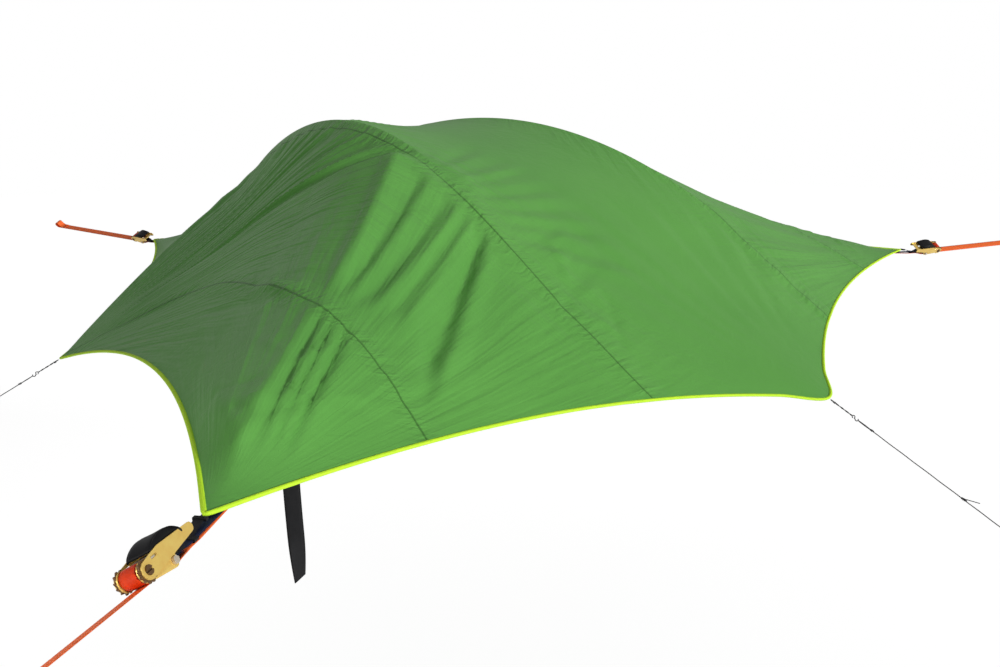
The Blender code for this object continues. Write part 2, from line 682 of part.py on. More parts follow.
def fly_buckle_mesh():
    """A ladder buckle on the tie: a frame with two slots and a middle bar."""
    start = FLY_CORNER_R + 2 * BINDING_R + FLY_THICKNESS / 2 + 2 * SEAT
    room = TIE_THICKNESS / 2 + SEAT
    low_x, high_x = start + 0.001, start + 0.011
    outside = block((low_x, -TIE_WIDTH / 2 - 0.0035, -room - 0.002), (high_x, TIE_WIDTH / 2 + 0.0035, room + 0.002))
    bore = block((low_x - 0.01, -TIE_WIDTH / 2 - SEAT, -room), (high_x + 0.01, TIE_WIDTH / 2 + SEAT, room))
    window = block((low_x + 0.003, -TIE_WIDTH / 2 + 0.002, 0.0), (high_x - 0.003, TIE_WIDTH / 2 - 0.002, 0.01))
    return combine(outside, [bore, window], "DIFFERENCE")


def strap_tail_mesh():
    """The loose end of the tree strap, drawn under the ratchet and the corner strap."""
    under_web = CORNER_WEB_THICKNESS / 2 + STRAP_THICKNESS / 2 + SEAT
    sleeve_low = TIE_THICKNESS + 3 * SEAT
    ring_z = web_height(TIE_RING_R) - under_web - sleeve_low - 0.001
    under_eye = BOLT_Z - BOLT_WRAP_R - SEAT - STRAP_THICKNESS / 2
    leave = -STRAP_ROLL_R - SEAT - STRAP_THICKNESS / 2
    centre = [(FLOOR_R - TAIL_UNDER_FLOOR, WEB_Z - under_web), (FLOOR_WEB_END, WEB_Z - under_web),
              (TIE_RING_R - TIE_RING_LENGTH, ring_z), (TIE_RING_R + TIE_RING_LENGTH, ring_z),
              (BOLT_AT - 0.012, under_eye), (BOLT_AT + 0.008, under_eye),
              (RATCHET_R - 0.012, leave), (RATCHET_R - 0.0004, leave)]
    return upright([band(centre, STRAP_THICKNESS)], STRAP_WIDTH)


def rolled_out(mesh, roll):
    """Turn a corner strap about the line to its tree: level at the tie, rolled at the ratchet.

    Straps that lie on each other are cut at the same rows and folded along the same diagonals.
    """
    start, end = TIE_RING_R + TIE_RING_LENGTH + 0.002, BOLT_AT - 3.0 * BOLT_WRAP_R - 0.002
    shape = bmesh.new()
    shape.from_mesh(mesh)
    for row in np.linspace(start, end, STRAP_TWIST_ROWS):
        bmesh.ops.bisect_plane(shape, geom=shape.verts[:] + shape.edges[:] + shape.faces[:],
                               plane_co=(row, 0.0, 0.0), plane_no=(1.0, 0.0, 0.0), dist=1e-7)
    for face in list(shape.faces):
        along = [corner.co.x for corner in face.verts]
        if len(face.verts) == 4 and min(along) > start - 1e-5 and max(along) < end + 1e-5:
            ordered = sorted(face.verts, key=lambda v: (round(v.co.x, 5), round(v.co.y, 5), v.co.z))
            bmesh.utils.face_split(face, ordered[0], ordered[-1])
    for corner in shape.verts:
        share = min(max((corner.co.x - start) / (end - start), 0.0), 1.0)
        turn = Matrix.Rotation(roll * share * share * (3 - 2 * share), 3, "X")
        corner.co = turn @ corner.co
    shape.to_mesh(mesh)
    shape.free()
    return mesh


def swept_strap(centre, width, thickness):
    """A flat strap along a path in the local x-z plane, as wide along y as its webbing."""
    centre = np.asarray(centre, float)
    run = unit(np.gradient(centre, axis=0))
    sides = np.tile([0.0, width / 2, 0.0], (len(centre), 1))
    faces_up = unit(np.cross(run, sides)) * thickness / 2
    ring = np.stack([centre + sides + faces_up, centre - sides + faces_up,
                     centre - sides - faces_up, centre + sides - faces_up], 1)
    mesh = bpy.data.meshes.new("strap")
    faces = [(4 * k + c, 4 * k + (c + 1) % 4, 4 * k + 4 + (c + 1) % 4, 4 * k + 4 + c)
             for k in range(len(centre) - 1) for c in range(4)]
    last = 4 * (len(centre) - 1)
    faces += [(3, 2, 1, 0), (last, last + 1, last + 2, last + 3)]
    mesh.from_pydata(ring.reshape(-1, 3).tolist(), [], faces)
    return weld(mesh)


def tree_strap_mesh(whole_length):
    """A strap from under the strap roll to a sewn loop.

    The loop goes round over the strap's upper side and comes back to lie on it.
    """
    leave = -STRAP_ROLL_R - SEAT - STRAP_THICKNESS / 2
    length = whole_length - STRAP_LOOP_R
    back = STRAP_THICKNESS + 2 * SEAT
    angle = np.linspace(-math.pi / 2, math.pi * 0.62, 10)
    over = np.append(STRAP_LOOP_R * (np.sin(angle) + 1.0), [back, back])
    run = np.append(length + STRAP_LOOP_R * np.cos(angle) * 1.6 + 0.010, [length - 0.020, length - 0.070])
    over[-2:] += leave * (1 - run[-2:] / length)
    along = np.append([0.0004, length], run)
    height = np.append([leave, 0.0], over)
    return swept_strap(np.stack([along, 0 * along, height], 1), STRAP_WIDTH, STRAP_THICKNESS)


def hanging_strap_mesh():
    """A plain strap that hangs from the corner strap, with a slanted cut end."""
    half = HANGING_STRAP_THICKNESS / 2
    top = [(half * math.cos(a), half * math.sin(a)) for a in np.linspace(0, math.pi, 7)]
    side = [(half, half), (-half, half)]
    outline = top + [(-half, -HANGING_STRAP_LENGTH), (half, -HANGING_STRAP_LENGTH)]
    mesh = upright([outline], HANGING_STRAP_WIDTH)
    corner = HANGING_STRAP_WIDTH / 2
    wedge = slab([[(-corner * 1.2, -HANGING_STRAP_LENGTH - 0.01), (corner * 1.2, -HANGING_STRAP_LENGTH - 0.01),
                   (corner * 1.2, -HANGING_STRAP_LENGTH + 0.007), (-corner * 1.2, -HANGING_STRAP_LENGTH)]],
                 6 * half)
    wedge.transform(Matrix.Rotation(math.radians(90.0), 4, "Z") @ UPRIGHT)
    return combine(mesh, [wedge], "DIFFERENCE")


# Ratchet

FRAME_INNER = RATCHET_INSIDE / 2
FRAME_OUTER = FRAME_INNER + FRAME_PLATE
WHEEL_INNER = FRAME_OUTER + RUNNING
WHEEL_OUTER = WHEEL_INNER + WHEEL_THICKNESS
HANDLE_INNER = WHEEL_OUTER + RUNNING
HANDLE_OUTER = HANDLE_INNER + HANDLE_PLATE
PAWL_CLEARANCE = 2 * SEAT


def pawl_tip(height):
    """How near the mandrel a pawl's tip may come, just clear of the wheel's crests."""
    return math.sqrt((WHEEL_TIP_R + SEAT) ** 2 - height ** 2)


LOCK_TIP = pawl_tip(LOCK_PAWL_Z)
DRIVE_TIP = pawl_tip(DRIVE_PAWL_Z)


def slot(tip, low_z):
    """The opening in a side plate that a pawl slides in."""
    return [(-tip - PAWL_LENGTH / 2 - PAWL_TRAVEL - PAWL_CLEARANCE, low_z - PAWL_CLEARANCE),
            (-tip + PAWL_CLEARANCE, low_z - PAWL_CLEARANCE),
            (-tip + PAWL_CLEARANCE, low_z + PAWL_THICKNESS + PAWL_CLEARANCE),
            (-tip - PAWL_LENGTH / 2 - PAWL_TRAVEL - PAWL_CLEARANCE, low_z + PAWL_THICKNESS + PAWL_CLEARANCE)]


def frame_mesh():
    """Two side plates with slots, bores and bolt holes, joined by a web over the bolt."""
    nose = [(FRAME_END_R * math.cos(a), FRAME_END_R * math.sin(a)) for a in np.radians(range(-80, 151, 23))]
    nose += [(BOLT_X + 0.004, 0.0075), (BOLT_X - 0.007, 0.000)]
    nose += [(BOLT_X + BOLT_END_R * math.cos(a), BOLT_Z + BOLT_END_R * math.sin(a))
             for a in np.radians(range(160, 281, 30))]
    holes = [circle(0.0, 0.0, MANDREL_R + RUNNING, 12), circle(BOLT_X, BOLT_Z, BOLT_R + RUNNING, 8),
             slot(LOCK_TIP, LOCK_PAWL_Z)]
    middle = FRAME_INNER + FRAME_PLATE / 2
    plates = [upright([nose] + holes, FRAME_PLATE, side * middle) for side in (-1, 1)]
    web_top = LOCK_PAWL_Z - PAWL_CLEARANCE
    web = block((BOLT_X + 0.006, -middle, web_top - FRAME_PLATE),
                (-STRAP_ROLL_R - 0.012, middle, web_top))
    return combine(web, plates)


def wheel_outline():
    """Saw teeth: each rises along a ramp and falls back along a short face."""
    step = 2 * math.pi / WHEEL_TEETH
    points = []
    for tooth in range(WHEEL_TEETH):
        for share, radius in ((0.0, WHEEL_ROOT_R), (0.70, WHEEL_TIP_R), (0.86, WHEEL_TIP_R)):
            angle = (tooth + share) * step
            points.append((radius * math.cos(angle), radius * math.sin(angle)))
    return points


def mandrel_mesh():
    """A slotted shaft with a toothed wheel at each side."""
    end = HANDLE_OUTER + 0.003
    shaft = rod(MANDREL_R, -end, end, 12)
    wheels = [upright([wheel_outline()], WHEEL_THICKNESS, side * (WHEEL_INNER + WHEEL_THICKNESS / 2))
              for side in (-1, 1)]
    solid = combine(shaft, wheels)
    room = FRAME_INNER - 0.002
    opening = block((-2 * MANDREL_R, -room, -MANDREL_SLOT / 2), (2 * MANDREL_R, room, MANDREL_SLOT / 2))
    ends = [block((-2 * MANDREL_R, side * end - 0.004, -MANDREL_SLOT / 2),
                  (2 * MANDREL_R, side * end + 0.004, MANDREL_SLOT / 2)) for side in (-1, 1)]
    return combine(solid, [opening] + ends, "DIFFERENCE")


def strap_roll_mesh():
    """The turns of strap wound on the mandrel, as one turned sleeve."""
    half = STRAP_WIDTH / 2
    profile = [(MANDREL_R + SEAT, half), (STRAP_ROLL_R - 0.001, half), (STRAP_ROLL_R, half - 0.001),
               (STRAP_ROLL_R, 0.001 - half), (STRAP_ROLL_R - 0.001, -half), (MANDREL_R + SEAT, -half)]
    mesh = bpy.data.meshes.new("roll")
    shape = bmesh.new()
    ring = [shape.verts.new((x, 0.0, z)) for x, z in profile]
    for first, second in zip(ring, ring[1:] + ring[:1]):
        shape.edges.new((first, second))
    shape.to_mesh(mesh)
    shape.free()
    thing = bpy.data.objects.new("roll", mesh)
    CUTTERS.objects.link(thing)
    turn = thing.modifiers.new("turn", "SCREW")
    turn.steps = turn.render_steps = 18
    turn.use_merge_vertices = True
    turn.merge_threshold = 0.00001
    made = evaluated_mesh(thing)
    made.transform(UPRIGHT)
    return made


def handle_mesh():
    """Two side plates on the mandrel's ends, joined by a tab at the tip."""
    tip = (HANDLE_TIP_R - HANDLE_LENGTH, 0.006)
    arm = hull(circle(0.0, 0.0, HANDLE_HUB_R, 16) + circle(*tip, HANDLE_TIP_R, 12)
               + circle(-0.045, 0.010, 0.0115, 12))
    holes = [circle(0.0, 0.0, MANDREL_R + RUNNING, 12), slot(DRIVE_TIP, DRIVE_PAWL_Z)]
    middle = HANDLE_INNER + HANDLE_PLATE / 2
    plates = [upright([arm] + holes, HANDLE_PLATE, side * middle) for side in (-1, 1)]
    tab = block((0.004 - HANDLE_LENGTH, -middle, 0.009), (0.028 - HANDLE_LENGTH, middle, 0.009 + HANDLE_PLATE))
    return combine(tab, plates)


def grip_mesh():
    """An arched moulded cover between the handle's plates."""
    half = HANDLE_INNER - SEAT
    share = np.linspace(0, 1, 9)
    start, end = DRIVE_TIP + PAWL_LENGTH + PAWL_TAB_LENGTH - 0.020, HANDLE_LENGTH - 0.032
    x = -(start + (end - start) * share)
    z = 0.0185 + 0.016 * np.sin(np.pi * share) ** 0.6
    return upright([band(np.stack([x, z], 1), GRIP_THICKNESS)], 2 * half)


def pawl_mesh(tip, low_z, outside, inside):
    """A plate that slides in both side plates, with a narrower thumb tab behind."""
    shoulder = -tip - PAWL_LENGTH / 2
    rear = -tip - PAWL_LENGTH - PAWL_TAB_LENGTH
    outline = [(-tip, -outside), (-tip, outside), (shoulder, outside), (shoulder, inside),
               (rear + 0.010, inside), (rear, inside * 0.6), (rear, -inside * 0.6),
               (rear + 0.010, -inside), (shoulder, -inside), (shoulder, -outside)]
    made = slab([outline], PAWL_THICKNESS)
    made.transform(Matrix.Translation((0.0, 0.0, low_z + PAWL_THICKNESS / 2)))
    return made


def bolt_mesh():
    """A hex bolt through the frame, with its nut run up on the far side."""
    head_y = FRAME_OUTER + SEAT
    shank = rod(BOLT_R, -head_y - NUT_THICKNESS - 0.002, head_y + 0.002, 10, (BOLT_X, BOLT_Z))
    nuts = [rod(NUT_R, *sorted((side * head_y, side * (head_y + NUT_THICKNESS))), 6, (BOLT_X, BOLT_Z), 0.4)
            for side in (-1, 1)]
    return combine(shank, nuts)


def make_corners():
    """At each hanging corner: straps, tie, buckle and ratchet, from shared meshes."""
    ratchet_inside = FRAME_INNER - PAWL_CLEARANCE
    lifted = Matrix.Rotation(HANDLE_LIFT, 4, "Y")
    at_centre = {"fly_tie": (fly_tie_mesh(), BLACK_WEBBING), "fly_buckle": (fly_buckle_mesh(), BLACK_PLASTIC)}
    at_mandrel = {"ratchet_frame": (frame_mesh(), GOLD_ZINC), "ratchet_mandrel": (mandrel_mesh(), BRIGHT_ZINC),
                  "strap_roll": (strap_roll_mesh(), ORANGE_WEBBING), "anchor_bolt": (bolt_mesh(), BRIGHT_ZINC),
                  "lock_pawl": (pawl_mesh(LOCK_TIP, LOCK_PAWL_Z, WHEEL_OUTER, ratchet_inside), BRIGHT_ZINC)}
    on_handle = {"ratchet_handle": (handle_mesh(), GOLD_ZINC), "handle_grip": (grip_mesh(), BLACK_PLASTIC),
                 "drive_pawl": (pawl_mesh(DRIVE_TIP, DRIVE_PAWL_Z, HANDLE_OUTER, ratchet_inside), BRIGHT_ZINC)}
    for corner, bearing in BEARINGS.items():
        centre = corner_frame(bearing)
        mandrel = corner_frame(bearing, RATCHET_R) @ Matrix.Rotation(RATCHET_ROLLS[corner], 4, "X")
        for group, matrix in ((at_centre, centre), (at_mandrel, mandrel), (on_handle, mandrel @ lifted)):
            for name, (mesh, finish) in group.items():
                place(f"{name}_{corner}", mesh, finish, matrix)
        for name, mesh, finish in (("corner_web", corner_web_mesh(), NAVY_WEBBING),
                                   ("strap_tail", strap_tail_mesh(), ORANGE_WEBBING)):
            place(f"{name}_{corner}", rolled_out(mesh, RATCHET_ROLLS[corner]), finish, centre)
        place(f"tree_strap_{corner}", tree_strap_mesh(TREE_STRAP_LENGTHS[corner]), ORANGE_WEBBING, mandrel)
    hang = corner_frame(BEARINGS["left"], FLOOR_R - HANGING_STRAP_INSIDE_CORNER)
    top = WEB_Z - CORNER_WEB_THICKNESS / 2 - SEAT - HANGING_STRAP_THICKNESS / 2
    hang = hang @ Matrix.Translation((0.0, 0.0, top))
    place("hanging_strap", hanging_strap_mesh(), BLACK_WEBBING, hang)


def hook_path():
    """An S hook's wire: a closed eye, a short neck and an open bend, from the eye's centre."""
    eye = [(HOOK_EYE_R * math.cos(a), HOOK_EYE_R * math.sin(a))
           for a in np.radians(np.linspace(275, -32, 11))]
    bend = [(HOOK_REACH + HOOK_BEND_R * math.cos(a), -0.001 + HOOK_BEND_R * math.sin(a))
            for a in np.radians(np.linspace(205, 420, 8))]
    return eye + bend


def make_guys():
    """Three guy lines: a knotted leader, an S hook and a long line with its adjusting knot."""
    slope_length = math.hypot(1.0, GUY_SLOPE)
    for name, (bearing, drop, end) in GUYS.items():
        start = bearing_point(GUY_CORNER_R, bearing, -drop)
        out = bearing_point(1.0, bearing) - [0, 0, GUY_SLOPE]
        out /= slope_length
        up = np.cross(out, np.cross([0, 0, 1.0], out))

        def on_line(distance, height=0.0):
            return start + out * distance + up * height

        first = 2 * BINDING_R + 0.0008
        last = GUY_LEADER_END
        stops = [first, first + 0.006, 0.020, 0.026, 0.032, 0.050, 0.070, last]
        scales = [0.8, 1.0, GUY_KNOT_SCALE, GUY_KNOT_SCALE, 1.0, 1.0, 1.0, 1.0]
        tube(f"guy_leader_{name}", [on_line(stop) for stop in stops], GUY_LEADER_R, BLACK_CORD, scales)
        eye = last + SEAT + HOOK_WIRE_R + HOOK_EYE_R
        tube(f"guy_hook_{name}", [on_line(eye + x, z) for x, z in hook_path()], HOOK_WIRE_R, DARK_WIRE,
             resolution=1)
        bend_end = eye + HOOK_REACH + HOOK_BEND_R + HOOK_WIRE_R + SEAT
        finish = end * slope_length
        stops = [bend_end, bend_end + 0.010, bend_end + 0.020, bend_end + 0.045, bend_end + 0.052,
                 bend_end + 0.060]
        scales = [1.2, 1.3, 1.2, GUY_KNOT_SCALE * 0.9, GUY_KNOT_SCALE * 0.9, 1.0]
        plain = np.linspace(bend_end + 0.080, finish - 0.030, 8)
        stops += [*plain, finish - 0.020, finish - 0.008, finish]
        scales += [1.0] * len(plain) + [GUY_KNOT_SCALE, GUY_KNOT_SCALE, 1.0]
        tube(f"guy_line_{name}", [on_line(stop, -0.001) for stop in stops], GUY_CORD_R, BLACK_CORD, scales, 1)


make_sheets()
make_floor()
make_poles()
make_corners()
make_guys()
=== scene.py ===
import math

import bpy
import numpy as np
from mathutils import Matrix, Vector


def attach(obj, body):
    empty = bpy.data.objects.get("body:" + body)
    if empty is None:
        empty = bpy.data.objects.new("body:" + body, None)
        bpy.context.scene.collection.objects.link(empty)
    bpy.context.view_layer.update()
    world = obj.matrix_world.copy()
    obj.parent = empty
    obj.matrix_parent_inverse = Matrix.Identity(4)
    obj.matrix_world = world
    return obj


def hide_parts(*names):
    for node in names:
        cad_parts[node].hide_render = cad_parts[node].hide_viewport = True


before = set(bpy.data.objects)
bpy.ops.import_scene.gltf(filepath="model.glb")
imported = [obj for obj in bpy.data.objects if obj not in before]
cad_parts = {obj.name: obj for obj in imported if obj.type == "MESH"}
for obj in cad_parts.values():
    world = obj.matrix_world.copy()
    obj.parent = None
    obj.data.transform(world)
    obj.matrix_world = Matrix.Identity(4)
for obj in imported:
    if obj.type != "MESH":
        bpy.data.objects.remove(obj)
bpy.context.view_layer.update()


# The photograph's view
# A camera beside the near left corner, a little above the tent, looking across it. Its lens is
# given as a share of the sensor's width.
SENSOR_WIDTH = 36.0
FOCAL_SHARE = 0.925672
CAMERA_PLACE = (-2.9099, -2.5765, 0.6983)

camera_data = bpy.data.cameras.new("photo_view")
camera_data.lens = SENSOR_WIDTH * FOCAL_SHARE
camera_data.sensor_width = SENSOR_WIDTH
camera_data.clip_end = 60.0
camera = bpy.data.objects.new("photo_view", camera_data)
bpy.context.scene.collection.objects.link(camera)
view_right = Vector((0.6311, -0.7756, -0.0083)).normalized()
view_ahead = Vector((0.7534, 0.6155, -0.2313)).normalized()
view_up = view_right.cross(view_ahead).normalized()
view_right = view_ahead.cross(view_up)
camera.matrix_world = Matrix.Translation(CAMERA_PLACE) @ Matrix(
    (view_right, view_up, -view_ahead)).transposed().to_4x4()
bpy.context.scene.camera = camera


# Guy lines
# Black braided cord at the fly's front and side corners: a knotted doubled leader, a dark
# S hook bent from wire, and a line looped over the hook that runs down to a peg out of view.
CORD_BLACK, WIRE_DARK = (0.010, 0.010, 0.011), (0.035, 0.035, 0.038)
BRAID_SCALE = 900.0
UP = np.array([0.0, 0.0, 1.0])
# the gap left between two pieces that lie on each other
PLAY = 0.0003
GUY_CORNER_RADIUS = 1.578
GUY_SLOPE = 0.556
# bearing, drop below the straps' level, and level way from the corner to the line's end
GUY_PLACES = {"front": (180.0, 0.212, 0.575), "left": (-60.0, 0.172, 0.255),
              "right": (60.0, 0.172, 0.255)}
LEADER_START, LEADER_END = 0.0098, 0.092
LEADER_STRAND = 0.00115
LEADER_TURNS = 2.2
LEADER_KNOT_AT = 0.026
HOOK_WIRE = 0.0015
HOOK_EYE = 0.0045
HOOK_BEND = 0.0050
HOOK_REACH = 0.0125
HOOK_EYE_AT = LEADER_END + PLAY + HOOK_WIRE + HOOK_EYE
LINE_START = HOOK_EYE_AT + HOOK_REACH + HOOK_BEND + HOOK_WIRE + PLAY
LINE_RADIUS = 0.0015
LINE_STRAND = 0.0014
LINE_LEVEL = -0.001
LINE_LOOP = 0.050
ADJUSTER_AT = 0.432


class NodeTree:
    """Short ways to add nodes to a material or a world; inputs are values or linked sockets."""

    def __init__(self, owner):
        owner.use_nodes = True
        self.nodes, self.links = owner.node_tree.nodes, owner.node_tree.links

    def add(self, kind, inputs=None, **settings):
        """One shader node with its settings and inputs."""
        node = self.nodes.new("ShaderNode" + kind)
        for key, value in settings.items():
            setattr(node, key, value)
        for key, value in (inputs or {}).items():
            if isinstance(value, bpy.types.NodeSocket):
                self.links.new(value, node.inputs[key])
            else:
                node.inputs[key].default_value = value
        return node

    def calc(self, operation, *values, clamp=False):
        """The output of one piece of arithmetic."""
        inputs = dict(enumerate(values))
        return self.add("Math", inputs, operation=operation, use_clamp=clamp).outputs[0]


class Finish(NodeTree):
    """A new material and its Principled shader, with the constant values on its sockets."""

    def __init__(self, name, colour, roughness, metallic=0.0, **sockets):
        self.material = bpy.data.materials.new(name)
        super().__init__(self.material)
        self.shader = self.nodes["Principled BSDF"]
        sockets.update(Base_Color=(*colour, 1.0), Roughness=roughness, Metallic=metallic)
        for socket, value in sockets.items():
            self.shader.inputs[socket.replace("_", " ")].default_value = value

    def give(self, socket, value):
        """Links a value to one of the shader's sockets."""
        self.links.new(value, self.shader.inputs[socket])

    def place(self):
        """The piece's own coordinates."""
        return self.add("TexCoord").outputs["Object"]

    def noise(self, scale, place=None, **inputs):
        """Noise on the piece's own coordinates, or on the place given."""
        inputs.update(Vector=self.place() if place is None else place, Scale=scale)
        return self.add("TexNoise", inputs).outputs["Fac"]

    def mix(self, share, first, second, **settings):
        """One colour at share 0, turning into another at 1."""
        first, second = ((*end, 1.0) if isinstance(end, tuple) else end for end in (first, second))
        ends = {"Factor": share, 6: first, 7: second}
        return self.add("Mix", ends, data_type="RGBA", **settings).outputs[2]

    def bump(self, height, strength, distance, **inputs):
        """Relief from a height, linked to the shader's normal."""
        inputs.update(Height=height, Strength=strength, Distance=distance)
        relief = self.add("Bump", inputs).outputs["Normal"]
        self.give("Normal", relief)
        return relief


def shade(colour, factor):
    """A colour made lighter or darker by a factor."""
    return tuple(part * factor for part in colour)


def braided_finish(name, colour):
    """Cord: a fine slanted braid from two crossing waves, with slight colour change."""
    cord = Finish(name, colour, 0.75, Sheen_Weight=0.25)
    cord.give("Base Color", cord.mix(cord.noise(BRAID_SCALE, Detail=2.0), shade(colour, 0.6),
                                     shade(colour, 1.7)))
    wave = {"Vector": cord.place(), "Scale": BRAID_SCALE / 3, "Distortion": 0.5}
    crossing = [cord.add("TexWave", wave, bands_direction=way).outputs["Fac"] for way in ("X", "Z")]
    cord.bump(cord.calc("MULTIPLY", *crossing), 0.5, 0.0004)
    return cord.material


def grained_finish(name, colour, roughness, grain, relief, detail=2.0, **sockets):
    """One colour with a fine even grain of noise in relief, so many grains to the metre."""
    plain = Finish(name, colour, roughness, **sockets)
    plain.bump(plain.noise(grain, Detail=detail), relief, 0.0003)
    return plain.material


def together(*values):
    """Numbers and arrays as columns of one length."""
    arrays = np.broadcast_arrays(*[np.atleast_1d(np.asarray(value, float)) for value in values])
    return [array[:, None] for array in arrays]


def swept(path, across, above, x, y):
    """A ring of points at each point of a path: path + x across + y above, round the ring."""
    x, y = np.atleast_2d(x)[..., None], np.atleast_2d(y)[..., None]
    return path[:, None] + x * across[:, None] + y * above[:, None]


def grid_faces(rows, columns, round_rows=False, round_columns=False):
    """Quads of a grid of points numbered row by row; a round direction joins its ends."""
    r = np.arange(rows if round_rows else rows - 1)
    c = np.arange(columns if round_columns else columns - 1)
    r, c = [a.ravel() for a in np.meshgrid(r, c, indexing="ij")]
    r2, c2 = (r + 1) % rows, (c + 1) % columns
    return np.stack([r * columns + c, r * columns + c2, r2 * columns + c2, r2 * columns + c], 1)


def new_piece(name, points, faces, finish, smooth=True):
    """A mesh object at the origin from arrays of points and of faces."""
    mesh = bpy.data.meshes.new(name)
    mesh.from_pydata(np.asarray(points, float).reshape(-1, 3).tolist(), [],
                     [list(map(int, face)) for face in faces])
    mesh.validate()
    mesh.materials.append(finish)
    mesh.polygons.foreach_set("use_smooth", [smooth] * len(mesh.polygons))
    piece = bpy.data.objects.new(name, mesh)
    bpy.context.scene.collection.objects.link(piece)
    return piece


def unit(vectors):
    """Each vector at length 1."""
    return vectors / np.linalg.norm(vectors, axis=-1, keepdims=True)


def run_along(path):
    """The way run from the start of a path at each of its points."""
    return np.concatenate([[0.0], np.cumsum(np.linalg.norm(np.diff(path, axis=0), axis=1))])


def resample(path, spacing):
    """The same line with points about one spacing apart."""
    path = np.asarray(path, float)
    run = run_along(path)
    at = np.linspace(0, run[-1], max(3, int(run[-1] / spacing) + 2))
    return np.stack([np.interp(at, run, path[:, k]) for k in range(3)], 1)


def steady_frames(path):
    """Side and up vectors along a path: each is the last one turned only as the path turns."""
    run = unit(np.gradient(path, axis=0))
    side = np.cross(run[0], UP)
    if np.linalg.norm(side) < 0.1:
        side = np.array([1.0, 0.0, 0.0])
    sides = []
    for direction in run:
        side = side - direction * (side @ direction)
        side = side / np.linalg.norm(side)
        sides.append(side)
    sides = np.array(sides)
    return sides, np.cross(run, sides)


def round_cord(path, radius, sides=10):
    """Points and faces of a closed round tube: path + radius (cos a side + sin a up)."""
    path = np.asarray(path, float)
    angle = 2 * np.pi * np.arange(sides) / sides
    ring = swept(path, *steady_frames(path), radius * np.cos(angle), radius * np.sin(angle))
    points = np.concatenate([ring.reshape(-1, 3), path[:1], path[-1:]])
    first, last = len(points) - 2, len(points) - 1
    turn = (np.arange(sides) + 1) % sides
    base = (len(path) - 1) * sides
    faces = list(grid_faces(len(path), sides, round_columns=True))
    faces += [(k, first, turn[k]) for k in range(sides)]
    faces += [(base + turn[k], last, base + k) for k in range(sides)]
    return points, faces


def joined(parts):
    """Several sets of points and faces as one."""
    points, faces, start = [], [], 0
    for part_points, part_faces in parts:
        points.append(np.asarray(part_points).reshape(-1, 3))
        faces += [tuple(int(i) + start for i in face) for face in part_faces]
        start += len(points[-1])
    return np.concatenate(points), faces


def bearing_point(radius, bearing, height=0.0):
    """A point at a radius and at a bearing from +Y, clockwise seen from above."""
    turn = math.radians(bearing)
    return np.array([radius * math.sin(turn), radius * math.cos(turn), height])


def guy_axes(place_name):
    """Start point, direction down the line, level side and upper side of one guy line."""
    bearing, drop, _ = GUY_PLACES[place_name]
    ahead = unit(bearing_point(1.0, bearing, -GUY_SLOPE))
    side = unit(np.cross(UP, ahead))
    return bearing_point(GUY_CORNER_RADIUS, bearing, -drop), ahead, side, np.cross(ahead, side)


def on_guy(place_name, along, across=0.0, above=0.0):
    """Points given along, beside and above one guy line."""
    start, ahead, side, up = guy_axes(place_name)
    along, across, above = together(along, across, above)
    return start + along * ahead + across * side + above * up


def wrapped_knot(place_name, middle, radius, core, turns=2.5, length=0.011):
    """A knot: a coil of the cord round its own standing part, drawn in at both ends."""
    share = np.linspace(0, 1, 46)
    angle = 2 * np.pi * turns * share
    wide = core * (0.55 + 0.45 * np.sin(np.pi * share))
    return round_cord(on_guy(place_name, middle + length * (share - 0.5) + 0.0015 * np.sin(angle),
                             wide * np.cos(angle), wide * np.sin(angle) - 0.0005), radius, 8)


cord_finish = braided_finish("black_braided_cord", CORD_BLACK)
wire_finish = grained_finish("dark_hook_wire", WIRE_DARK, 0.35, 700.0, 0.15, metallic=0.9)

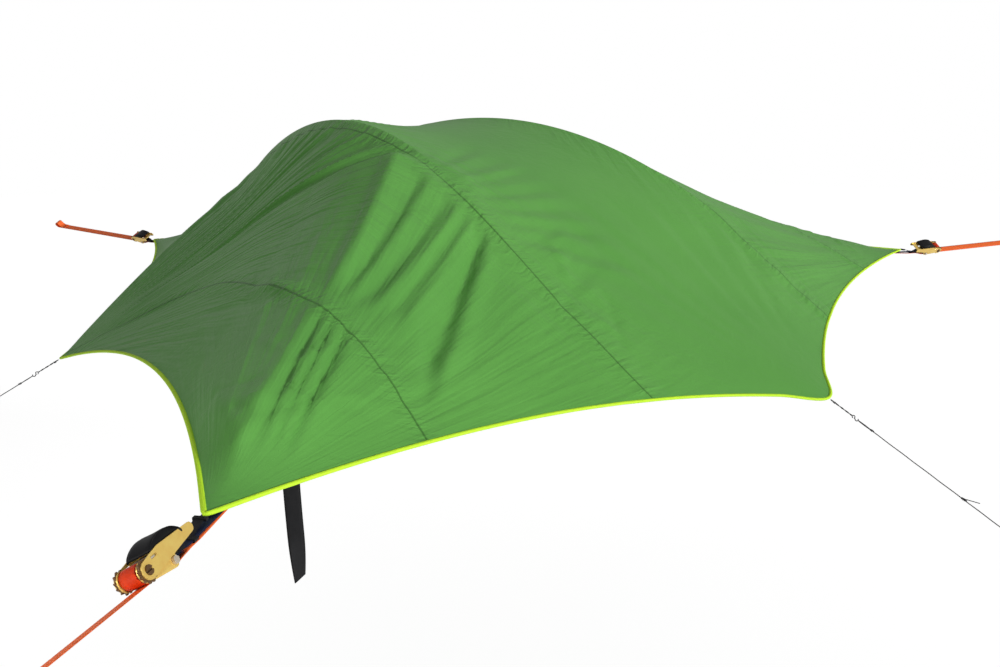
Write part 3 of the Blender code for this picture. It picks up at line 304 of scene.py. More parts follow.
for place_name, (_, _, end) in GUY_PLACES.items():
    share = np.linspace(0, 1, 60)
    run = LEADER_START + (LEADER_END - LEADER_START) * share
    apart = LEADER_STRAND * 1.02
    twist = 2 * np.pi * LEADER_TURNS * share
    strands = [round_cord(on_guy(place_name, run, side * np.cos(twist), side * np.sin(twist)),
                          LEADER_STRAND, 8) for side in (-apart, apart)]
    knot = wrapped_knot(place_name, LEADER_KNOT_AT, LEADER_STRAND, 0.0030)
    points, faces = joined(strands + [knot])
    leader = new_piece(f"guy_leader_cord_{place_name}", points, faces, cord_finish)
    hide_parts(f"guy_leader_{place_name}")
    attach(leader, "tent")
    start = on_guy(place_name, LEADER_START)[0]

    eye = np.radians(np.linspace(275, -32, 40))
    bend = np.radians(np.linspace(205, 420, 30))
    hook_along = np.concatenate([HOOK_EYE * np.cos(eye), HOOK_REACH + HOOK_BEND * np.cos(bend)])
    hook_above = np.concatenate([HOOK_EYE * np.sin(eye), LINE_LEVEL + HOOK_BEND * np.sin(bend)])
    wire = resample(on_guy(place_name, HOOK_EYE_AT + hook_along, 0.0, hook_above), 0.0007)
    hook = new_piece(f"guy_hook_wire_{place_name}", *round_cord(wire, HOOK_WIRE, 12), wire_finish)
    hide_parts(f"guy_hook_{place_name}")
    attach(hook, "tent")

    finish = end * math.hypot(1.0, GUY_SLOPE)
    knot_at = LINE_START + LINE_LOOP
    pinch = np.linspace(0, 1, 24)
    aside = 0.0009 * (1 - pinch) + 0.0022 * np.sin(np.pi * pinch) ** 0.7
    loop_run = LINE_START + (knot_at - LINE_START) * pinch
    single = np.linspace(knot_at, finish, 90)[1:]
    route = on_guy(place_name, np.concatenate([loop_run, single]),
                   np.concatenate([aside, 0.0006 * np.sin((single - knot_at) * 70.0)]), LINE_LEVEL)
    line = new_piece(f"guy_line_cord_{place_name}", *round_cord(route, LINE_RADIUS, 10), cord_finish)
    parts = [round_cord(on_guy(place_name, loop_run, -aside, LINE_LEVEL), 0.0013, 8),
             wrapped_knot(place_name, knot_at, LINE_STRAND, 0.0028),
             wrapped_knot(place_name, finish - 0.010, LINE_STRAND, 0.0030)]
    if place_name == "front":
        adjust = ADJUSTER_AT * math.hypot(1.0, GUY_SLOPE)
        tail = np.linspace(0, 1, 26)
        parts.append(wrapped_knot(place_name, adjust, LINE_STRAND, 0.0032, 3.5, 0.016))
        parts.append(round_cord(on_guy(place_name, adjust + 0.040 * tail, 0.004 * tail,
                                       LINE_LEVEL + 0.003 + 0.017 * tail), LINE_STRAND, 8))
    knots = new_piece(f"guy_line_knots_{place_name}", *joined(parts), cord_finish)
    for piece in (line, knots):
        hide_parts(f"guy_line_{place_name}")
        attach(piece, "tent")


# Tree straps
# Smooth woven orange straps, 35 mm wide. Each leaves the underside of the turns wound on a
# ratchet, turns on edge as it goes, and ends out of view in a loop sewn back on itself.
STRAP_ORANGE = (1.00, 0.205, 0.045)
STRAP_RED = (0.92, 0.105, 0.018)
STITCH_RED = (0.75, 0.10, 0.02)
STRAP_WIDTH = 0.035
STRAP_THICK = 0.0017
HALF_STRAP = 0.00125
STRAP_CROWN = 0.0002
RIB_SLANT = 0.55
MANDREL_AT = 2.600
ROLL_RADIUS = 0.0190
LEAVE_LEVEL = -ROLL_RADIUS - PLAY - HALF_STRAP
LOOP_RADIUS = 0.017
SEWN_LEVEL = 0.0031
# bearing, length from the mandrel to the loop's end, and roll in degrees
CORNERS = {"tail": (0.0, 0.940, -32.0), "left": (-120.0, 0.410, 29.0), "right": (120.0, 0.580, 34.0)}
ROLL_FROM, ROLL_TO = 2.455, 2.5058


def webbing_finish(name, colour, dark, rib=0.0011, roughness=0.55):
    """Woven strap: slanted ribs across it in its own UV metres, with painted shade in the rib
    troughs, soiling and thread noise.
    """
    web = Finish(name, colour, roughness, Specular_IOR_Level=0.2)
    metres = web.add("UVMap", uv_map="metres").outputs["UV"]
    both = web.add("SeparateXYZ", {0: metres}).outputs
    slants = []
    for slant in (RIB_SLANT, -RIB_SLANT):
        lean = web.calc("MULTIPLY_ADD", both["Y"], slant, both["X"])
        slants.append(web.calc("SINE", web.calc("MULTIPLY", lean, 2 * math.pi / rib)))
    weave = web.calc("MAXIMUM", *slants)
    # painted shade: the colour darkens where the weave's relief is low, in the rib troughs; the
    # noise adds soiling
    tone_mix = web.calc("MULTIPLY_ADD", weave, 0.22, web.noise(60.0, metres, Detail=5.0, Roughness=0.6))
    web.give("Base Color", web.mix(tone_mix, dark, colour, clamp_factor=True))
    web.bump(weave, 0.45, 0.0003)
    return web.material


def metres_map(piece, along, across, name="metres"):
    """Gives a piece a UV map, mostly in metres, from one pair of numbers for each of its points."""
    mesh = piece.data
    layer = mesh.uv_layers.new(name=name)
    corner = np.empty(len(mesh.loops), int)
    mesh.loops.foreach_get("vertex_index", corner)
    both = np.stack([values.ravel()[corner] for values in np.broadcast_arrays(along, across)], 1)
    layer.data.foreach_set("uv", both.ravel())


def capped_tube(rows, columns):
    """Faces of a tube of so many rings, with one face over each end."""
    faces = [tuple(face) for face in grid_faces(rows, columns, round_columns=True)]
    start = (rows - 1) * columns
    return faces + [tuple(range(columns))[::-1], tuple(range(start, start + columns))]


def flat_strap(centre, sides, width, thick, crown=STRAP_CROWN):
    """Points, faces and metres of a strap: a thin rounded section carried along its centre.

    The section is (w s, t sqrt(1 - s^8)) for s from -1 to 1 above, and back below.
    """
    centre = np.asarray(centre, float)
    run = unit(np.gradient(centre, axis=0))
    sides = unit(sides - (sides * run).sum(1, keepdims=True) * run)
    faces_up = np.cross(run, sides)
    s = np.concatenate([np.linspace(-1, 1, 9), np.linspace(1, -1, 9)[1:-1]])
    above = np.where(np.arange(len(s)) < 9, 1.0, -1.0)
    lift = above * (thick / 2) * np.sqrt(np.clip(1 - np.abs(s) ** 8, 0, 1)) + crown * (1 - s * s)
    ring = swept(centre, sides, faces_up, (width / 2) * s, lift)
    u = np.broadcast_to(run_along(centre)[:, None], ring.shape[:2])
    v = np.broadcast_to((width / 2) * s[None, :], ring.shape[:2])
    return ring, capped_tube(*ring.shape[:2]), u, v


def roll_at(out, roll):
    """Angle of a corner's straps: roll s^2 (3 - 2 s) on the way from the tie to the ratchet."""
    s = np.clip((out - ROLL_FROM) / (ROLL_TO - ROLL_FROM), 0, 1)
    return math.radians(roll) * s * s * (3 - 2 * s)


def corner_ways(bearing):
    """The unit vectors outwards and sideways at a corner."""
    out = bearing_point(1.0, bearing)
    return out, np.cross(UP, out)


def corner_place(bearing, along, across, above, roll=0.0):
    """Points given outwards, sideways and upwards from the origin, rolled about the way outwards."""
    out, side = corner_ways(bearing)
    along, across, above = together(along, across, above)
    turn = roll_at(along, roll)
    across, above = (across * np.cos(turn) - above * np.sin(turn),
                     across * np.sin(turn) + above * np.cos(turn))
    return along * out + across * side + above * UP


def corner_sides(bearing, path, roll=0.0):
    """The sideways unit vector at each point of a corner strap's path."""
    out, side = corner_ways(bearing)
    turn = roll_at(path @ out, roll)[:, None]
    return np.cos(turn) * side + np.sin(turn) * UP


def corner_strap(name, bearing, path, roll, finish, thick=STRAP_THICK, crown=STRAP_CROWN):
    """A strap along a corner's path, with its map in metres."""
    sides = corner_sides(bearing, path, roll)
    ring, faces, u, v = flat_strap(path, sides, STRAP_WIDTH, thick, crown)
    piece = new_piece(name, ring, faces, finish)
    metres_map(piece, u, v)
    return piece


strap_finish = webbing_finish("orange_strap_weave", STRAP_ORANGE, STRAP_RED)
stitch_finish = grained_finish("strap_stitching", STITCH_RED, 0.7, 2500.0, 0.4)

for corner, (bearing, whole_length, roll) in CORNERS.items():
    length = whole_length - LOOP_RADIUS
    x = np.linspace(0.0004, length, 60)
    centre = corner_place(bearing, MANDREL_AT + x, 0.0, LEAVE_LEVEL * (1 - x / length), roll)
    strap = corner_strap(f"tree_strap_web_{corner}", bearing, centre, roll, strap_finish)
    angle = np.linspace(-math.pi / 2, math.pi * 0.62, 40)
    run = np.concatenate([[length - 0.002], length + LOOP_RADIUS * np.cos(angle) * 1.6 + 0.010,
                          [length - 0.012, length - 0.030, length - 0.070]])
    over = np.concatenate([[0.0], LOOP_RADIUS * (np.sin(angle) + 1.0),
                           [0.010, SEWN_LEVEL, SEWN_LEVEL]])
    low = LEAVE_LEVEL * np.clip(1 - run / length, 0, None)
    loop_path = resample(corner_place(bearing, MANDREL_AT + run, 0.0, over + low, roll), 0.004)
    loop = corner_strap(f"tree_strap_loop_{corner}", bearing, loop_path, roll, strap_finish)
    rows = []
    for row in np.linspace(-0.013, 0.013, 5):
        zig = np.linspace(0, 1, 34)
        along = length - 0.066 + 0.032 * zig
        across = row + 0.0012 * np.sign(np.sin(zig * 90))
        rise = SEWN_LEVEL + 0.0011 + LEAVE_LEVEL * (1 - along / length)
        thread = corner_place(bearing, MANDREL_AT + along, across, rise, roll)
        rows.append(round_cord(thread, 0.0003, 5))
    stitches = new_piece(f"tree_strap_stitches_{corner}", *joined(rows), stitch_finish)
    for piece in (strap, loop, stitches):
        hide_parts(f"tree_strap_{corner}")
        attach(piece, "tent")


# Strap tails
# The free end of each orange strap comes out under the ratchet and is tucked away inwards,
# flat against the underside of the corner strap.
WEB_LEVEL = -0.0078
WEB_THICK = 0.003
BOLT_OUT = 2.530
BOLT_LEVEL = -0.018
EYE_OUTER = 0.0074
NECK_OUT = BOLT_OUT - 3 * EYE_OUTER
NECK_LEVEL = BOLT_LEVEL + (WEB_LEVEL - BOLT_LEVEL) * 0.15
FLOOR_WEB_END = 2.270
TIE_RING_OUT = 2.437
TAIL_END = 2.110


def web_level(out):
    """Height of the corner strap's middle between the floor's edge and the bolt."""
    share = (out - FLOOR_WEB_END) / (NECK_OUT - FLOOR_WEB_END)
    return WEB_LEVEL + (NECK_LEVEL - WEB_LEVEL) * np.clip(share, 0, 1)


for corner, (bearing, _, roll) in CORNERS.items():
    under = WEB_THICK / 2 + HALF_STRAP + PLAY
    ring_level = web_level(TIE_RING_OUT) - under - 0.0035
    eye_level = BOLT_LEVEL - EYE_OUTER - PLAY - HALF_STRAP
    knee_x = [MANDREL_AT - 0.0004, MANDREL_AT - 0.012, BOLT_OUT + 0.008, BOLT_OUT - 0.012,
              TIE_RING_OUT + 0.016, TIE_RING_OUT - 0.016, FLOOR_WEB_END, TAIL_END]
    knee_z = [LEAVE_LEVEL, LEAVE_LEVEL, eye_level, eye_level, ring_level, ring_level,
              WEB_LEVEL - under, WEB_LEVEL - under]
    level = resample(np.stack([knee_x, np.zeros(len(knee_x)), knee_z], 1), 0.006)
    path = corner_place(bearing, *level.T, roll)
    tail = corner_strap(f"strap_tail_web_{corner}", bearing, path, roll, strap_finish, crown=0.0)
    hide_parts(f"strap_tail_{corner}")
    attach(tail, "tent")


# Loose strap
# A plain black woven strap that hangs by its upper end from the near corner strap. It twists
# a little on its way down, and ends in a slanted heat-cut edge.
WEB_BLACK, WEB_BLACK_DARK = (0.008, 0.008, 0.009), (0.003, 0.003, 0.004)
HANG_BEARING = -120.0
HANG_OUT = 1.972
HANG_WIDTH = 0.038
HANG_LENGTH = 0.330
HANG_CUT = 0.006
HANG_TOP = WEB_LEVEL - WEB_THICK / 2 - PLAY - 0.0011
black_web_finish = webbing_finish("black_strap_weave", WEB_BLACK, WEB_BLACK_DARK, 0.0013)

z = np.linspace(0.0011, -HANG_LENGTH, 60)
down = np.clip(-z / HANG_LENGTH, 0, 1)
sway = 0.003 * np.sin(5.0 * down) * down
path = corner_place(HANG_BEARING, HANG_OUT + sway, 0.007 * down, HANG_TOP + z)
twist = np.radians(np.interp(down, [0, 0.12, 0.66, 1.0], [0, -22, -24, -72]))[:, None]
out_way, side_way = corner_ways(HANG_BEARING)
sides = np.sin(twist) * out_way + np.cos(twist) * side_way
ring, faces, u, v = flat_strap(path, sides, HANG_WIDTH, 0.0018)
ring = np.array(ring)
ring[-1, :, 2] += HANG_CUT * (0.5 + v[-1] / HANG_WIDTH)
hanging = new_piece("hanging_strap_web", ring, faces, black_web_finish)
metres_map(hanging, u, v)
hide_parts("hanging_strap")
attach(hanging, "loose_strap")


# Rain fly
# One green coated sheet drawn over the two pole arches and out to six corners. It is cut in
# panels, sewn along the poles and down the sides, and it creases where the corners pull.
FLY_GREEN = (0.118, 0.352, 0.068)
FLY_SHADE = (0.098, 0.312, 0.058)
FLY_CORNER_RADIUS = 2.367
TAIL_ROWS, BODY_ROWS, INNER_COLUMNS, OUTER_COLUMNS = 8, 12, 4, 8
ARCH_START = np.array([-0.830, -1.418, -0.030])
ARCH_WAY = np.array([0.830, 3.518, 0.0]) / math.hypot(0.830, 3.518)
ARCH_ASIDE = np.array([ARCH_WAY[1], -ARCH_WAY[0], 0.0])
ARCH_MIDDLE, ARCH_HALF, ARCH_TOP = 1.720, 1.445, 0.680
ON_POLE_FROM, ON_POLE_TO = 0.640, 2.600
TAIL_CORNER = bearing_point(FLY_CORNER_RADIUS, 0.0)
NEAR_CORNER = bearing_point(FLY_CORNER_RADIUS, -120.0)
FRONT_GUY = bearing_point(GUY_CORNER_RADIUS, 180.0, -0.212)
SIDE_GUY = bearing_point(GUY_CORNER_RADIUS, -60.0, -0.172)
HEM_INWARD, HEM_RISE, SIDE_HEM_RISE = 0.145, 0.038, 0.095
TAIL_NIP = 0.025
MIDDLE_ARCH = 0.8
SIDE_STAY_RISE = 0.030


def pole_arch(distance, lowered=0.0):
    """The left arch: height = top (1 - ((d - middle) / half)^2) over its straight plan line."""
    distance = np.atleast_1d(np.asarray(distance, float))
    points = ARCH_START * [1, 1, 0] + distance[:, None] * ARCH_WAY
    points[:, 2] = ARCH_TOP * (1 - ((distance - ARCH_MIDDLE) / ARCH_HALF) ** 2) - lowered
    return points


def slack_edge(start, end, share, inward, rise):
    """A chord plus 4 t (1 - t) of a sag that points inwards and up."""
    share = np.asarray(share, float)[:, None]
    middle = unit(-(start + end) / 2 * [1, 1, 0])
    return start + (end - start) * share + 4 * share * (1 - share) * (inward * middle + rise * UP)


def settled(grid, fixed, along, across, slanting, steps=900):
    """A stretched sheet: each free point moves to its neighbours' weighted mean, over and over."""
    along, across, slanting = (weight[..., None] for weight in (along, across, slanting))
    total = 2 * (along + across + slanting)
    for _ in range(steps):
        wide = np.pad(grid, ((1, 1), (1, 1), (0, 0)), mode="edge")
        wide[1:-1, 0] = grid[:, 1] * [-1, 1, 1]
        pull = (along * (wide[:-2, 1:-1] + wide[2:, 1:-1])
                + across * (wide[1:-1, :-2] + wide[1:-1, 2:])
                + slanting * (wide[:-2, :-2] + wide[2:, 2:]))
        grid = np.where(fixed[..., None], grid, pull / total)
    return grid


def straight_rows(middle, ridge, edge):
    """Rows that run straight from the middle line to the ridge and on to the edge."""
    inner = (np.arange(INNER_COLUMNS + 1) / INNER_COLUMNS)[None, :, None]
    outer = (np.arange(1, OUTER_COLUMNS + 1) / OUTER_COLUMNS)[None, :, None]
    return np.concatenate([middle[:, None] + (ridge - middle)[:, None] * inner,
                           ridge[:, None] + (edge - ridge)[:, None] * outer], 1)


def edge_shares(line):
    """Shares along a front edge, the inner ones ending where the arch's plane crosses it."""
    split = float(np.abs((line - ARCH_START) @ ARCH_ASIDE).argmin()) / (len(line) - 1)
    return np.concatenate([np.linspace(0, split, INNER_COLUMNS + 1),
                           np.linspace(split, 1, OUTER_COLUMNS + 1)[1:]])


def half_fly():
    """The left half of the fly as a coarse settled grid, as the solid model has it."""
    reach = (TAIL_CORNER - ARCH_START) @ ARCH_WAY
    distance = np.concatenate([np.linspace(reach, ON_POLE_TO, TAIL_ROWS + 1),
                               np.linspace(ON_POLE_TO, ON_POLE_FROM, BODY_ROWS - 2)[1:],
                               np.linspace(ON_POLE_FROM, 0, 4)[1:]])
    ridge = pole_arch(distance)
    lift, touch = pole_arch([ON_POLE_FROM, ON_POLE_TO])
    front, tail = distance < ON_POLE_FROM, distance > ON_POLE_TO
    ridge[front] = ARCH_START + (lift - ARCH_START) * (distance[front] / ON_POLE_FROM)[:, None]
    ridge[tail] = touch + (TAIL_CORNER - touch) * ((distance[tail] - ON_POLE_TO)
                                                   / (reach - ON_POLE_TO))[:, None]
    ridge[TAIL_ROWS - 1] = pole_arch(distance[TAIL_ROWS - 1])[0]
    front_hem = slack_edge(FRONT_GUY, NEAR_CORNER, np.linspace(0, 1, 401), HEM_INWARD, HEM_RISE)
    tail_shares, body_shares = (np.linspace(0, 1, rows + 1) for rows in (TAIL_ROWS, BODY_ROWS))
    tail_end = TAIL_CORNER - [TAIL_NIP, 0, 0]
    side = np.concatenate([
        slack_edge(tail_end, SIDE_GUY, tail_shares ** 1.25, HEM_INWARD, HEM_RISE),
        slack_edge(SIDE_GUY, NEAR_CORNER, body_shares, HEM_INWARD, SIDE_HEM_RISE)[1:]])
    share = np.linspace(0, 1, TAIL_ROWS + BODY_ROWS + 1)[:, None]
    middle = TAIL_CORNER + (FRONT_GUY - TAIL_CORNER) * share
    middle[:, 2] += MIDDLE_ARCH * ARCH_TOP * np.sin(np.pi * share[:, 0])
    grid = straight_rows(middle, ridge, side)
    grid[0] = TAIL_CORNER - np.outer(np.linspace(0, TAIL_NIP, grid.shape[1]), [1, 0, 0])
    grid[-1] = slack_edge(FRONT_GUY, NEAR_CORNER, edge_shares(front_hem), HEM_INWARD, HEM_RISE)
    fixed = np.zeros(grid.shape[:2], bool)
    fixed[0] = fixed[-1] = fixed[:, -1] = True
    fixed[(distance >= ON_POLE_FROM) & (distance <= distance[TAIL_ROWS - 1]), INNER_COLUMNS] = True
    share = np.linspace(0, 1, OUTER_COLUMNS + 1)[:, None]
    stay = ridge[TAIL_ROWS] + (SIDE_GUY - ridge[TAIL_ROWS]) * share
    stay[:, 2] += SIDE_STAY_RISE * 4 * (share * (1 - share))[:, 0]
    grid[TAIL_ROWS, INNER_COLUMNS:] = stay
    fixed[TAIL_ROWS, INNER_COLUMNS:] = True
    along, across, slanting = np.ones(fixed.shape), np.ones(fixed.shape), np.zeros(fixed.shape)
    along[:, :INNER_COLUMNS] = 0.25
    across[:, :INNER_COLUMNS] = 2.0
    across[1:4, INNER_COLUMNS + 1:] = 8.0
    slanting[TAIL_ROWS:, INNER_COLUMNS + 1:] = 4.0
    return settled(grid, fixed, along, across, slanting)


def smooth_rows(grid, steps):
    """Catmull-Rom curves through each column of points, with so many steps a span."""
    wide = np.concatenate([2 * grid[:1] - grid[1:2], grid, 2 * grid[-1:] - grid[-2:-1]])
    t = (np.arange(steps) / steps)[None, :, None, None]
    a, b, c, d = (part[:, None] for part in (wide[:-3], wide[1:-2], wide[2:-1], wide[3:]))
    line = 0.5 * (2 * b + (c - a) * t + (2 * a - 5 * b + 4 * c - d) * t ** 2
                  + (3 * b - a - 3 * c + d) * t ** 3)
    return np.concatenate([line.reshape(-1, *grid.shape[1:]), grid[-1:]])


def smooth_sheet(grid, row_steps, column_steps, corner_row=None):
    """A fine sheet through the coarse one, creased along the ridge and at the side corner."""
    rows = smooth_rows(grid, row_steps)
    if corner_row is not None:
        split = np.concatenate([smooth_rows(grid[:corner_row + 1], row_steps)[:-1],
                                smooth_rows(grid[corner_row:], row_steps)])
        share = np.clip((np.arange(grid.shape[1]) - INNER_COLUMNS) / OUTER_COLUMNS, 0, 1)[:, None]
        rows = rows * (1 - share) + split * share
    turned = rows.transpose(1, 0, 2)
    inner = smooth_rows(np.concatenate([turned[1:2] * [-1, 1, 1], turned[:INNER_COLUMNS + 1]]),
                        column_steps)[column_steps:]
    outer = smooth_rows(turned[INNER_COLUMNS:], column_steps)
    return np.concatenate([inner[:-1], outer]).transpose(1, 0, 2)


def facing_up(vectors):
    """The same unit vectors, those that point down turned over."""
    return vectors * np.where(vectors[..., 2:] < 0, -1.0, 1.0)


def sheet_normals(grid):
    """Unit normals of a grid of points from its two gradients, pointing up."""
    normal = np.cross(np.gradient(grid, axis=1), np.gradient(grid, axis=0))
    return facing_up(unit(normal + 1e-12))


def mirrored(half):
    """The whole sheet from its left half: x = 0 is the mirror plane."""
    return np.concatenate([(half * [-1, 1, 1])[:, :0:-1], half], 1)


ROW_STEPS, COLUMN_STEPS = 14, 12
fly = mirrored(smooth_sheet(half_fly(), ROW_STEPS, COLUMN_STEPS, TAIL_ROWS))
normals = sheet_normals(fly)
row, column = np.indices(fly.shape[:2])
rows_at, columns_at = row / ROW_STEPS, np.abs(column - fly.shape[1] // 2) / COLUMN_STEPS
plan_x, plan_y = fly[..., 0], fly[..., 1]


def around(point, way):
    """How far each point of the fly lies along a way in plan from a point, and to its left."""
    x, y = plan_x - point[0], plan_y - point[1]
    return x * way[0] + y * way[1], y * way[0] - x * way[1]


def pleats(apex, first, last, count, height, near, far, seed):
    """Facets that spread from a point that pulls: straight slopes between crests and troughs.

    Each crest or trough lies at its own angle round the point. Its height grows with the
    distance r as height r / 0.7 up to 1.2 height, comes in from r = near and is gone at r = far.
    """
    random = np.random.default_rng(seed)
    middle = math.radians((first + last) / 2)
    along, across = around(apex, (math.cos(middle), math.sin(middle)))
    reach, angle = np.hypot(along, across), np.arctan2(across, along)
    gaps = np.cumsum(random.uniform(0.5, 1.6, count + 1))
    folds = np.radians((last - first) * ((gaps - gaps[0]) / (gaps[-1] - gaps[0]) - 0.5))
    tops = height * np.where(np.arange(count + 1) % 2, 1.0, -1.0)
    tops *= random.uniform(0.5, 1.2, count + 1)
    tops[0] = tops[-1] = 0.0
    size = np.interp(reach, [0, near, near + 0.18, far - 0.25, far], [0, 0, 1, 1, 0])
    return np.interp(angle, folds, tops, left=0.0, right=0.0) * size * np.minimum(reach / 0.7, 1.2)


def lip(middle, way, length, width, height):
    """One raised fold, a Gaussian hump longer than it is wide, along a way in plan."""
    along, across = around(middle, np.array(way) / np.hypot(*way))
    return height * np.exp(-(along / length) ** 2 - (across / width) ** 2)


def bend(start, end, width, height):
    """One long bend between two points in plan: height (1 - |off| / width), eased at its ends."""
    way = np.array(end) - start
    length = np.hypot(*way)
    along, off = around(start, way / length)
    ends = np.interp(along / length, [0, 0.20, 0.93, 1.0], [0, 1, 1, 0])
    return height * np.clip(1 - np.abs(off) / width, 0, 1) * ends


def ruled_folds(low_ends, high_ends, heights):
    """Flat facets between straight lines in plan, given from left to right by both their ends.

    Between two lines the height goes straight from one line's height to the next one's, by the
    share of the way across. It comes in over the lines' first seventh and leaves over the last.
    """
    lines, result = [], np.zeros_like(plan_x)
    for low, high in zip(np.array(low_ends), np.array(high_ends)):
        length = np.hypot(*(high - low))
        along, off = around(low, (high - low) / length)
        lines.append((along / length, off))
    for k, ((share, off), (next_share, next_off)) in enumerate(zip(lines[:-1], lines[1:])):
        inside = (off <= 0) & (next_off > 0)
        across = off / np.where(inside, off - next_off, 1.0)
        along = share * (1 - across) + next_share * across
        level = heights[k] * (1 - across) + heights[k + 1] * across
        result += inside * level * np.interp(along, [0, 0.14, 0.86, 1.0], [0, 1, 1, 0])
    return result


NEAR_PULL, FAR_PULL = (-2.05, -1.18), (2.05, -1.18)
SIDE_PULL, FAR_SIDE_PULL = (-1.37, 0.79), (1.37, 0.79)
PLEATS = [
    # point, angles from and to, how many, height, start and end, seed
    (NEAR_PULL, 36, 72, 12, 0.0022, 0.15, 1.30, 4), (NEAR_PULL, -3, 24, 10, 0.0018, 0.20, 1.10, 5),
    (SIDE_PULL, -62, 14, 24, 0.0085, 0.15, 1.40, 7),
    (SIDE_PULL, -95, -62, 9, 0.0016, 0.15, 1.00, 8), (FAR_PULL, 144, 182, 11, 0.0032, 0.20, 1.60, 9),
    (FAR_PULL, 110, 144, 8, 0.0036, 0.20, 1.60, 10),
    (FAR_SIDE_PULL, 166, 265, 20, 0.0034, 0.15, 1.20, 11),
    ((0.0, -1.60), 30, 150, 18, 0.0022, 0.20, 1.10, 12),
    ((0.0, 2.36), 236, 304, 14, 0.0036, 0.20, 1.60, 13),
    ((-1.05, -0.60), -28, 26, 15, 0.0048, 0.38, 1.00, 14)]
LIPS = [
    # middle, way, length, width, height
    ((-1.345, -0.520), (-0.16, -1.0), 0.110, 0.022, 0.013),
    ((-1.262, 0.330), (-0.10, 1.0), 0.300, 0.030, -0.010),
    ((-1.130, 0.330), (-0.30, 1.0), 0.260, 0.060, 0.010),
    ((-1.020, 0.480), (-0.60, 1.0), 0.200, 0.045, -0.006),
    ((-0.800, -0.950), (-0.8, -0.5), 0.200, 0.060, 0.005),
    ((-1.650, -0.960), (-1.0, -0.5), 0.250, 0.045, 0.006),
    ((-0.500, -0.850), (-1.0, -0.15), 0.120, 0.022, 0.005),
    ((-0.480, -0.780), (-1.0, -0.10), 0.110, 0.018, -0.004),
    ((-0.460, -0.930), (-1.0, -0.25), 0.140, 0.020, -0.004),
    ((0.300, -0.700), (-1.0, 0.2), 0.400, 0.150, 0.006),
    ((1.100, -0.550), (-1.0, 0.5), 0.450, 0.110, 0.006)]
LONG_BEND = (-2.05, -1.163), (-0.57, -0.253), 0.30, 0.052
# The bundle of folds above the small front seam, then the one below it: their lines from left to
# right by their low ends and their high ends, and the lines' heights.
FOLD_BUNDLES = [
    ([(-1.36, -0.690), (-1.345, -0.725), (-1.335, -0.748), (-1.336, -0.772), (-1.340, -0.805),
      (-1.310, -0.840), (-1.285, -0.875), (-1.302, -0.916), (-1.360, -1.060), (-1.415, -1.133),
      (-1.400, -1.190)],
     [(-0.60, -0.200), (-0.606, -0.275), (-0.645, -0.415), (-0.650, -0.460), (-0.645, -0.545),
      (-0.652, -0.597), (-0.660, -0.625), (-0.665, -0.655), (-0.675, -0.700), (-0.684, -0.731),
      (-0.700, -0.790)],
     [0.0, 0.012, -0.015, 0.004, -0.014, 0.012, -0.007, 0.012, -0.019, 0.012, 0.0]),
    ([(-1.935, -1.040), (-1.905, -1.074), (-1.885, -1.094), (-1.870, -1.104), (-1.862, -1.112),
      (-1.852, -1.120), (-1.842, -1.128), (-1.830, -1.136), (-1.790, -1.150)],
     [(-1.365, -0.680), (-1.395, -0.730), (-1.390, -0.762), (-1.394, -0.784), (-1.400, -0.806),
      (-1.402, -0.826), (-1.398, -0.850), (-1.398, -0.872), (-1.390, -0.960)],
     [0.0, 0.009, -0.011, 0.008, -0.009, 0.008, -0.011, 0.010, 0.0])]
CRUMPLES = [
    # middle, spread, how many, height
    ((-0.60, -0.92), 0.11, 16, 0.0045), ((-1.30, -0.98), 0.10, 10, 0.0035),
    ((-1.62, -0.86), 0.12, 12, 0.0035), ((-1.05, -0.42), 0.13, 9, 0.0030),
    ((-1.70, -1.05), 0.12, 10, 0.0035), ((1.55, -0.85), 0.22, 16, 0.0040)]
SIDE_SEAM_Y = [0.789, 0.601, 0.374, 0.174, -0.044, -0.200, -0.381, -0.493, -0.676, -0.838, -1.085,
               -1.195]
SIDE_SEAM_X = [1.345, 1.300, 1.262, 1.235, 1.225, 1.262, 1.325, 1.355, 1.387, 1.410, 1.452, 1.478]
side_seam_x = np.polyval(np.polyfit(SIDE_SEAM_Y, SIDE_SEAM_X, 5), np.clip(plan_y, -1.25, 0.80))

moved = sum(pleats(*values) for values in PLEATS)
at_seam = np.exp(-((np.abs(plan_x) - side_seam_x) / 0.035) ** 2)
moved = moved * (1 - 0.65 * at_seam) + sum(lip(*values) for values in LIPS)
moved = moved + bend(*LONG_BEND) + sum(ruled_folds(*bundle) for bundle in FOLD_BUNDLES)
random = np.random.default_rng(31)
for middle, spread, count, size in CRUMPLES:
    for place in random.normal(middle, spread, (count, 2)):
        turn = random.uniform(0, math.pi)
        way = math.cos(turn), math.sin(turn)
        moved = moved + lip(place, way, random.uniform(0.03, 0.09), 0.014,
                            size * random.choice([-1.0, 1.0]))
ridge_width = np.where(rows_at < 18, 0.35, 0.15)
on_ridge = np.exp(-((columns_at - INNER_COLUMNS) / ridge_width) ** 2) * (rows_at > 6)
to_hem = [(INNER_COLUMNS + OUTER_COLUMNS - columns_at) / 0.8,
          (TAIL_ROWS + BODY_ROWS - rows_at) / 0.8, rows_at / 1.5]
at_hem = np.clip(np.minimum.reduce(to_hem), 0, 1)
fly = fly + normals * (moved * (1 - on_ridge) * at_hem)[..., None]

SEAM_ROWS = [0.0, 6.0, 12.0, 15.4, 16.6, 18.4, 20.0]
SEAM_COLUMNS = [4.25, 4.25, 4.28, 4.20, 4.05, 3.85, 3.45]
column_width = np.linalg.norm(np.gradient(fly, axis=1), axis=2) * COLUMN_STEPS
row_length = np.linalg.norm(np.gradient(fly, axis=0), axis=2)
from_seam = (columns_at - np.interp(rows_at, SEAM_ROWS, SEAM_COLUMNS)) * column_width
from_side_seam = np.abs(plan_x) - side_seam_x

